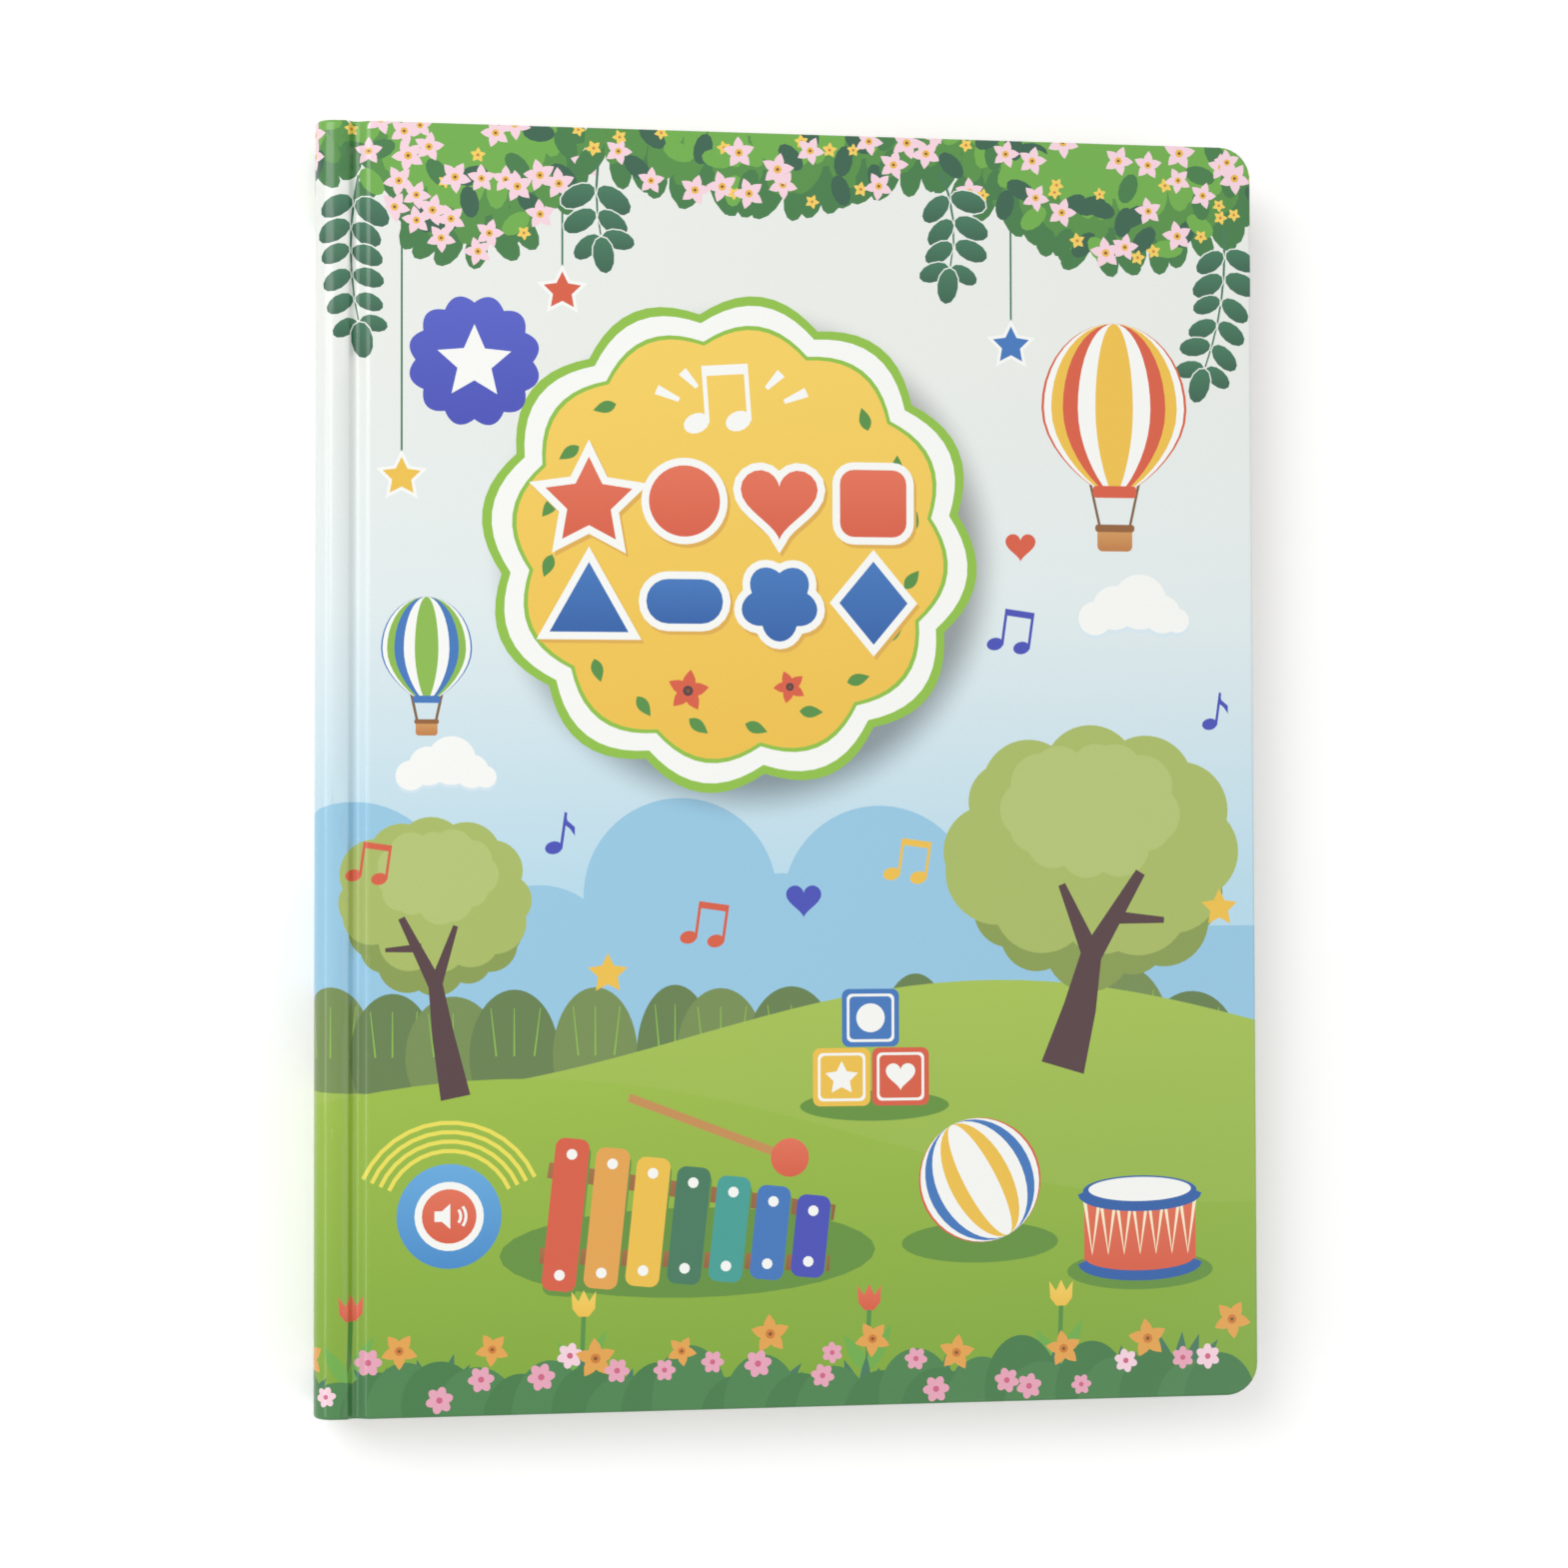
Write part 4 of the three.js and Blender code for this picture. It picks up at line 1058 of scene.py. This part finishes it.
# Soft shadow that the raised medallion throws on the print under it
def softShadow(layers):
    below = next(i for i, layer in enumerate(layers) if layer.get("casts"))
    look = {"radius": plaque["radius"] * 1.035, "offset": (3.6, -3.8), "soft": 5.5, "strength": 0.62}
    middle = (plaque["x"] + look["offset"][0], plaque["y"] + look["offset"][1])

    def depth(x, y):
        away = math.hypot(x - middle[0], y - middle[1]) - look["radius"]
        share = min(max(0.5 - away / (2 * look["soft"]), 0.0), 1.0)
        return look["strength"] * share * share * (3 - 2 * share)

    rings = []
    for step in range(-3, 8):
        reach = look["radius"] + look["soft"] * step / 4
        rings.append((oval(*middle, reach, count=96), True))
    return {"below": below, "depth": depth}, rings


def makeJacket(outer, lining):
    outline = sheetOutline(jacketEnd, book["foreX"], book["headY"], (0.0, book["corner"]))
    layers = frontArt(outline)
    shadow, rings = softShadow(layers)
    guides = jacketGuides() + ringGuides((jacketEnd, *jacketRect[1:]), jacketEnd) + rings
    return coveredBoard("jacket_front_and_spine", layers, lambda loop: liningArt(loop, 7), guides,
                        jacketPlace, jacketRim, (), shadow, False, [outer, lining])


def makeBackCover(outer, lining):
    rect = (backLow[0] / mm, backHigh[0] / mm, -book["headY"], book["headY"], book["hingeCorner"], book["corner"])
    window = {"gap": 0.4, "corner": 4.0, "flange": 7.0, "edgeRound": 0.3, "rowStep": 12}
    w0, v0 = (panelLow[i] / mm + window["flange"] - window["gap"] for i in range(2))
    w1, v1 = (panelHigh[i] / mm - window["flange"] + window["gap"] for i in range(2))
    hole = softBox(w0, v0, w1, v1, window["corner"], 8)
    holeRect = (w0, w1, v0, v1, window["corner"], window["corner"])
    wall = book["board"]

    def rim(x, y):
        inside, inward = insideBy(x, y, rect)
        toHole, away = insideBy(x, y, holeRect)
        if -toHole < inside:
            radius = window["edgeRound"]
            return -toHole, roundDrop(-toHole, radius), (-away[0], -away[1]), radius
        return inside, roundDrop(inside, book["edgeRound"]), inward, book["edgeRound"]

    def place(x, y, drop, under):
        if not under:
            return x, y, drop
        return x, y, wall if drop is None else wall - drop[0] * drop[2]

    outline = sheetOutline(rect[0], rect[1], book["headY"], rect[4:])
    guides = ringGuides(rect, None)
    for gap in (0.04, 0.12, 0.3, 0.5):
        guides.append((softBox(w0 - gap, v0 - gap, w1 + gap, v1 + gap, window["corner"] + gap, 8), True))
    for i in range(1, 24):
        y = -book["headY"] + window["rowStep"] * i
        guides.append(([(rect[0], y), (rect[1], y)], False))
    layers = backArt(outline)
    return coveredBoard("back_board_covered", layers, lambda loop: liningArt(loop, 9, "linen"), guides,
                        place, rim, (hole,), None, True, [outer, lining])


# Card leaves as a geometry node tree: one rounded outline, raised to a leaf and stacked over a core


def leafTree(material):
    tree = bpy.data.node_groups.new("cardLeafStack", "GeometryNodeTree")
    tree.interface.new_socket("Geometry", in_out="OUTPUT", socket_type="NodeSocketGeometry")
    named = {}
    defaults = {
        "Width": 0.2, "Height": 0.28, "Corner": 0.0055, "Spine Corner": 0.001, "Leaf Thickness": 0.001,
        "Leaf Pitch": 0.00122, "Leaves": 6, "Core Inset": 0.0008, "Unevenness": 0.0001, "Seed": 3,
        "Place": (0, 0, 0),
    }
    kinds = {float: "Float", int: "Int", tuple: "Vector"}
    for label, value in defaults.items():
        socket = tree.interface.new_socket(label, in_out="INPUT", socket_type="NodeSocket" + kinds[type(value)])
        socket.default_value = value
        named[label] = socket.identifier
    given = addNode(tree, "NodeGroupInput").outputs

    def solidSheet(width, height, inset, thickness):
        wide, tall = width, height
        if inset is not None:
            twice = mathNode(tree, "MULTIPLY", inset, 2.0)
            wide, tall = (mathNode(tree, "SUBTRACT", side, twice) for side in (width, height))
        outline = addNode(tree, "GeometryNodeCurvePrimitiveQuadrilateral", None, Width=wide, Height=tall)
        where = addNode(tree, "GeometryNodeInputPosition")
        side = addNode(tree, "ShaderNodeSeparateXYZ", None, Vector=where.outputs[0])
        greater = {"data_type": "FLOAT", "operation": "GREATER_THAN"}
        isFore = addNode(tree, "FunctionNodeCompare", greater, i0=side.outputs["X"])
        radius = addNode(tree, "GeometryNodeSwitch", {"input_type": "FLOAT"}, Switch=isFore.outputs[0],
                         **{"False": given["Spine Corner"], "True": given["Corner"]})
        soft = addNode(tree, "GeometryNodeFilletCurve", {"mode": "POLY", "Count": 8},
                       Curve=outline.outputs[0], Radius=radius.outputs[0])
        face = addNode(tree, "GeometryNodeFillCurve", {"mode": "NGONS"}, Curve=soft.outputs[0])
        raised = addNode(tree, "GeometryNodeExtrudeMesh", {"Individual": False}, Mesh=face.outputs[0])
        tree.links.new(thickness, raised.inputs["Offset Scale"])
        under = addNode(tree, "GeometryNodeFlipFaces", None, Mesh=face.outputs[0])
        both = addNode(tree, "GeometryNodeJoinGeometry")
        tree.links.new(raised.outputs["Mesh"], both.inputs[0])
        tree.links.new(under.outputs[0], both.inputs[0])
        return addNode(tree, "GeometryNodeMergeByDistance", {"Distance": 1e-6}, Geometry=both.outputs[0]).outputs[0]

    leaf = solidSheet(given["Width"], given["Height"], None, given["Leaf Thickness"])
    step = addNode(tree, "ShaderNodeCombineXYZ", None, Z=given["Leaf Pitch"])
    line = addNode(tree, "GeometryNodeMeshLine", None, Count=given["Leaves"], Offset=step.outputs[0])
    stack = addNode(tree, "GeometryNodeInstanceOnPoints", None, Points=line.outputs[0], Instance=leaf)
    low = mathNode(tree, "MULTIPLY", given["Unevenness"], -1.0)
    jog = addNode(tree, "FunctionNodeRandomValue", {"data_type": "FLOAT"}, Min=low, Seed=given["Seed"], i2=low)
    jog.inputs[3].default_value = 0.0
    shift = addNode(tree, "ShaderNodeCombineXYZ", None, X=jog.outputs[1])
    uneven = addNode(tree, "GeometryNodeTranslateInstances", None,
                     Instances=stack.outputs[0], Translation=shift.outputs[0])
    tall = mathNode(tree, "MULTIPLY", mathNode(tree, "SUBTRACT", given["Leaves"], 1.0), given["Leaf Pitch"])
    core = solidSheet(given["Width"], given["Height"], given["Core Inset"], tall)
    lift = addNode(tree, "ShaderNodeCombineXYZ", None, Z=mathNode(tree, "MULTIPLY", given["Leaf Thickness"], 0.5))
    raisedCore = addNode(tree, "GeometryNodeTransform", None, Geometry=core, Translation=lift.outputs[0])
    whole = addNode(tree, "GeometryNodeJoinGeometry")
    tree.links.new(uneven.outputs[0], whole.inputs[0])
    tree.links.new(raisedCore.outputs[0], whole.inputs[0])
    put = addNode(tree, "GeometryNodeTransform", None, Geometry=whole.outputs[0], Translation=given["Place"])
    real = addNode(tree, "GeometryNodeRealizeInstances", None, Geometry=put.outputs[0])
    dressed = addNode(tree, "GeometryNodeSetMaterial", {"Material": material}, Geometry=real.outputs[0])
    out = addNode(tree, "NodeGroupOutput")
    tree.links.new(dressed.outputs[0], out.inputs[0])
    return tree, named


def grownPiece(name, tree, named, values):
    holder = bpy.data.objects.new(name + "_holder", bpy.data.meshes.new(name + "_empty"))
    bpy.context.scene.collection.objects.link(holder)
    modifier = holder.modifiers.new("grow", "NODES")
    modifier.node_group = tree
    for label, value in values.items():
        modifier[named[label]] = value
    shown = holder.evaluated_get(bpy.context.evaluated_depsgraph_get())
    mesh = bpy.data.meshes.new_from_object(shown)
    mesh.name = name
    bpy.data.objects.remove(holder)
    piece = bpy.data.objects.new(name, mesh)
    bpy.context.scene.collection.objects.link(piece)
    return piece


def makeLeaves(material):
    look = {"Leaves": 6, "Leaf Thickness": 0.001, "Leaf Pitch": 0.00122, "Corner": 0.0055, "Spine Corner": 0.001,
            "Core Inset": 0.0008, "Unevenness": 0.00016, "Seed": 3}
    values = dict(look, Width=leavesHigh[0] - leavesLow[0], Height=leavesHigh[1] - leavesLow[1])
    values["Place"] = ((leavesLow[0] + leavesHigh[0]) / 2, 0.0, leavesLow[2])
    tree, named = leafTree(material)
    return grownPiece("card_leaves", tree, named, values)


# Printed skin on the uppermost leaf, a hair over the card
def makeFirstPage(material):
    look = {"lift": 0.02, "thickness": 0.06, "inset": 0.25}
    x0, x1 = leavesLow[0] / mm + look["inset"], leavesHigh[0] / mm - look["inset"] - 0.2
    half = leavesHigh[1] / mm - look["inset"]
    outline = sheetOutline(x0, x1, half, (1.0, 5.2))
    layers = pageArt(outline, x1 - x0, 2 * half, (x0 + x1) / 2)
    corners, triangles, inks = partition(layers, [(grown(outline, -0.3), True)])
    top = leavesHigh[2] / mm + look["lift"] + look["thickness"]
    vertices = [(x, y, top) for x, y in corners]
    colours = [c for t in inks for c in t]
    faces = list(triangles)
    edgeInks = inksByEdge(triangles, inks)
    under = {}
    loop = boundaryLoops(triangles)[0]
    for i in loop:
        vertices.append((corners[i][0], corners[i][1], top - look["thickness"]))
        under[i] = len(vertices) - 1
    for k, i in enumerate(loop):
        n = loop[(k + 1) % len(loop)]
        faces.append([n, i, under[i], under[n]])
        near, far = edgeInks[i, n]
        colours += [far, near, near, far]
    faces.append([under[i] for i in loop[::-1]])
    colours += [colours[0]] * len(loop)
    return meshPiece("first_page_print", vertices, faces, [0] * len(faces), colours, [material])


# Build


filmMaterial = filmedPrint()
liningMaterial = printedPaper("offset_printed_lining_paper")
pageMaterial = printedPaper("coated_card_offset_printed")
leafMaterial = cutBoard("coated_card_cut_edge", "F4F2EC", "DCD8CE", 0.35 * mm)
finishes = [
    (cutBoard("laminated_grey_board_cut_edge", "C9C4BA", "A39D92", 0.9 * mm), ["spacer_board"]),
    (mouldedPlastic("moulded_abs_white", "E6E6E2"), ["module_base", "module_lid", "battery_door"]),
    (mouldedPlastic("moulded_abs_black", "26282A", rough=(0.3, 0.42)),
     ["power_switch_knob", "volume_switch_body", "volume_button"]),
    (platedMetal("zinc_plated_steel", "C4C6C8"),
     ["battery_door_screw", "power_switch_body", "speaker_frame"] + [f"lid_screw_{i}" for i in range(1, 5)]),
    (platedMetal("nickel_plated_steel_can", "D0D1D0", rough=(0.14, 0.26)),
     [f"button_cell_{i}" for i in range(1, 4)]),
    (platedMetal("nickel_plated_contact_strip", "C9BC98"),
     [label + "_contact" for label in ("door", "minus", "bridge", "plus")]),
    (mouldedPlastic("solder_mask_over_glass_laminate", "2F6B45", rough=(0.25, 0.36)), ["circuit_board"]),
    (mouldedPlastic("cured_black_resin", "141414", rough=(0.12, 0.24)), ["sound_chip"]),
    (cutBoard("pressed_paper_cone", "4A4A4C", "2C2C2E", 0.6 * mm), ["speaker_cone"]),
    (mouldedPlastic("sintered_ferrite", "3A3A3C", rough=(0.55, 0.75)), ["speaker_magnet"]),
    (mouldedPlastic("pvc_lead_red", "B5332C"), ["speaker_lead_red"]),
    (mouldedPlastic("pvc_lead_black", "1D1D1F"), ["speaker_lead_black"]),
    (mouldedPlastic("polyester_film_tail", "DFE6EA", rough=(0.2, 0.32)), ["membrane_tail"]),
]
print("materials made")

jacket = makeJacket(filmMaterial, liningMaterial)
print("jacket:", len(jacket.data.polygons), "faces")
backBoard = makeBackCover(filmMaterial, liningMaterial)
print("back board:", len(backBoard.data.polygons), "faces")
leaves = makeLeaves(leafMaterial)
firstPage = makeFirstPage(pageMaterial)
print("leaves:", len(leaves.data.polygons), "faces, first page:", len(firstPage.data.polygons))

for material, nodes in finishes:
    for node in nodes:
        for slot in bpy.data.objects[node].material_slots:
            slot.material = material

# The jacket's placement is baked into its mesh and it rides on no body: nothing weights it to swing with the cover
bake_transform(jacket)
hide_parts("front_cover", "case_spine")
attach(backBoard, "book_base")
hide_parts("back_cover")
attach(leaves, "book_base")
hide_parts("page_block")
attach(firstPage, "book_base")
print("pieces ride on their bodies")


# Floor, light and camera


# One where the camera sees a surface, itself or in a mirror or through glass, and zero for plain light
def seenRays(tree):
    path = addNode(tree, "ShaderNodeLightPath")
    seen = mathNode(tree, "MAXIMUM", path.outputs["Is Camera Ray"], path.outputs["Is Glossy Ray"])
    return mathNode(tree, "MAXIMUM", seen, path.outputs["Is Transmission Ray"])


# Paper sweep: matt and white, pure white to the eye, with the object's shadow on it
def makeFloor():
    look = {"reach": 6.0, "drop": 0.05 * mm, "shade": (0.8, 0.8, 0.8, 1.0), "white": (1.0, 1.0, 1.0, 1.0)}
    look["lift"] = 0.1  # own light that brings the paper to pure white in the picture
    reach, z = look["reach"], -look["drop"]
    mesh = bpy.data.meshes.new("studio_floor")
    corners = [(-reach, -reach, z), (reach, -reach, z), (reach, reach, z), (-reach, reach, z)]
    mesh.from_pydata(corners, [], [(0, 1, 2, 3)])
    floor = bpy.data.objects.new("studio_floor", mesh)
    bpy.context.scene.collection.objects.link(floor)
    surface = {"Roughness": 0.95, "IOR": 1.3, "Emission Color": look["white"]}
    material, tree, shader = newMaterial("matt_white_paper_sweep", **surface)
    seen = seenRays(tree)
    paper = addNode(tree, "ShaderNodeMix", {"data_type": "RGBA"}, Factor=seen)
    paper.inputs["A"].default_value = look["shade"]
    paper.inputs["B"].default_value = look["white"]
    tree.links.new(paper.outputs["Result"], shader.inputs["Base Color"])
    tree.links.new(ramp(tree, seen, 0.0, look["lift"]), shader.inputs["Emission Strength"])
    floor.data.materials.append(material)


def makeLight(name, place, target, size, power):
    lamp = bpy.data.lights.new(name, "AREA")
    lamp.shape = "RECTANGLE"
    lamp.size, lamp.size_y = size
    lamp.energy = power
    holder = bpy.data.objects.new(name, lamp)
    holder.location = place
    holder.rotation_euler = (Vector(target) - Vector(place)).to_track_quat("-Z", "Y").to_euler()
    bpy.context.scene.collection.objects.link(holder)


def makeWorld(light):
    world = bpy.data.worlds.new("studio_surround")
    world.use_nodes = True
    tree = world.node_tree
    background = tree.nodes["Background"]
    background.inputs["Color"].default_value = (1.0, 1.0, 1.0, 1.0)
    tree.links.new(ramp(tree, seenRays(tree), light, 1.0), background.inputs["Strength"])
    bpy.context.scene.world = world


def makeCamera():
    look = {"place": (-0.0989, -0.0217, 0.6973), "turn": (1.522, -8.117, -0.146), "lens": 70.0}
    data = bpy.data.cameras.new("photo_camera")
    data.lens = look["lens"]
    data.sensor_width = 36.0
    data.clip_start, data.clip_end = 0.01, 50.0
    camera = bpy.data.objects.new("photo_camera", data)
    camera.location = look["place"]
    camera.rotation_euler = [math.radians(a) for a in look["turn"]]
    bpy.context.scene.collection.objects.link(camera)
    bpy.context.scene.camera = camera


makeFloor()
makeLight("soft_key", (-0.75, 0.65, 1.25), (0, 0, 0), (0.9, 0.9), 9.5)
makeLight("soft_fill", (0.9, -0.5, 1.1), (0, 0, 0), (1.1, 1.1), 3.0)
makeLight("left_strip", (-0.85, 0.0, 0.62), (-0.1, 0, 0.02), (1.0, 0.14), 1.6)
makeWorld(0.6)
makeCamera()
bpy.context.scene.view_settings.view_transform = "Standard"
print("floor, lights and camera placed")
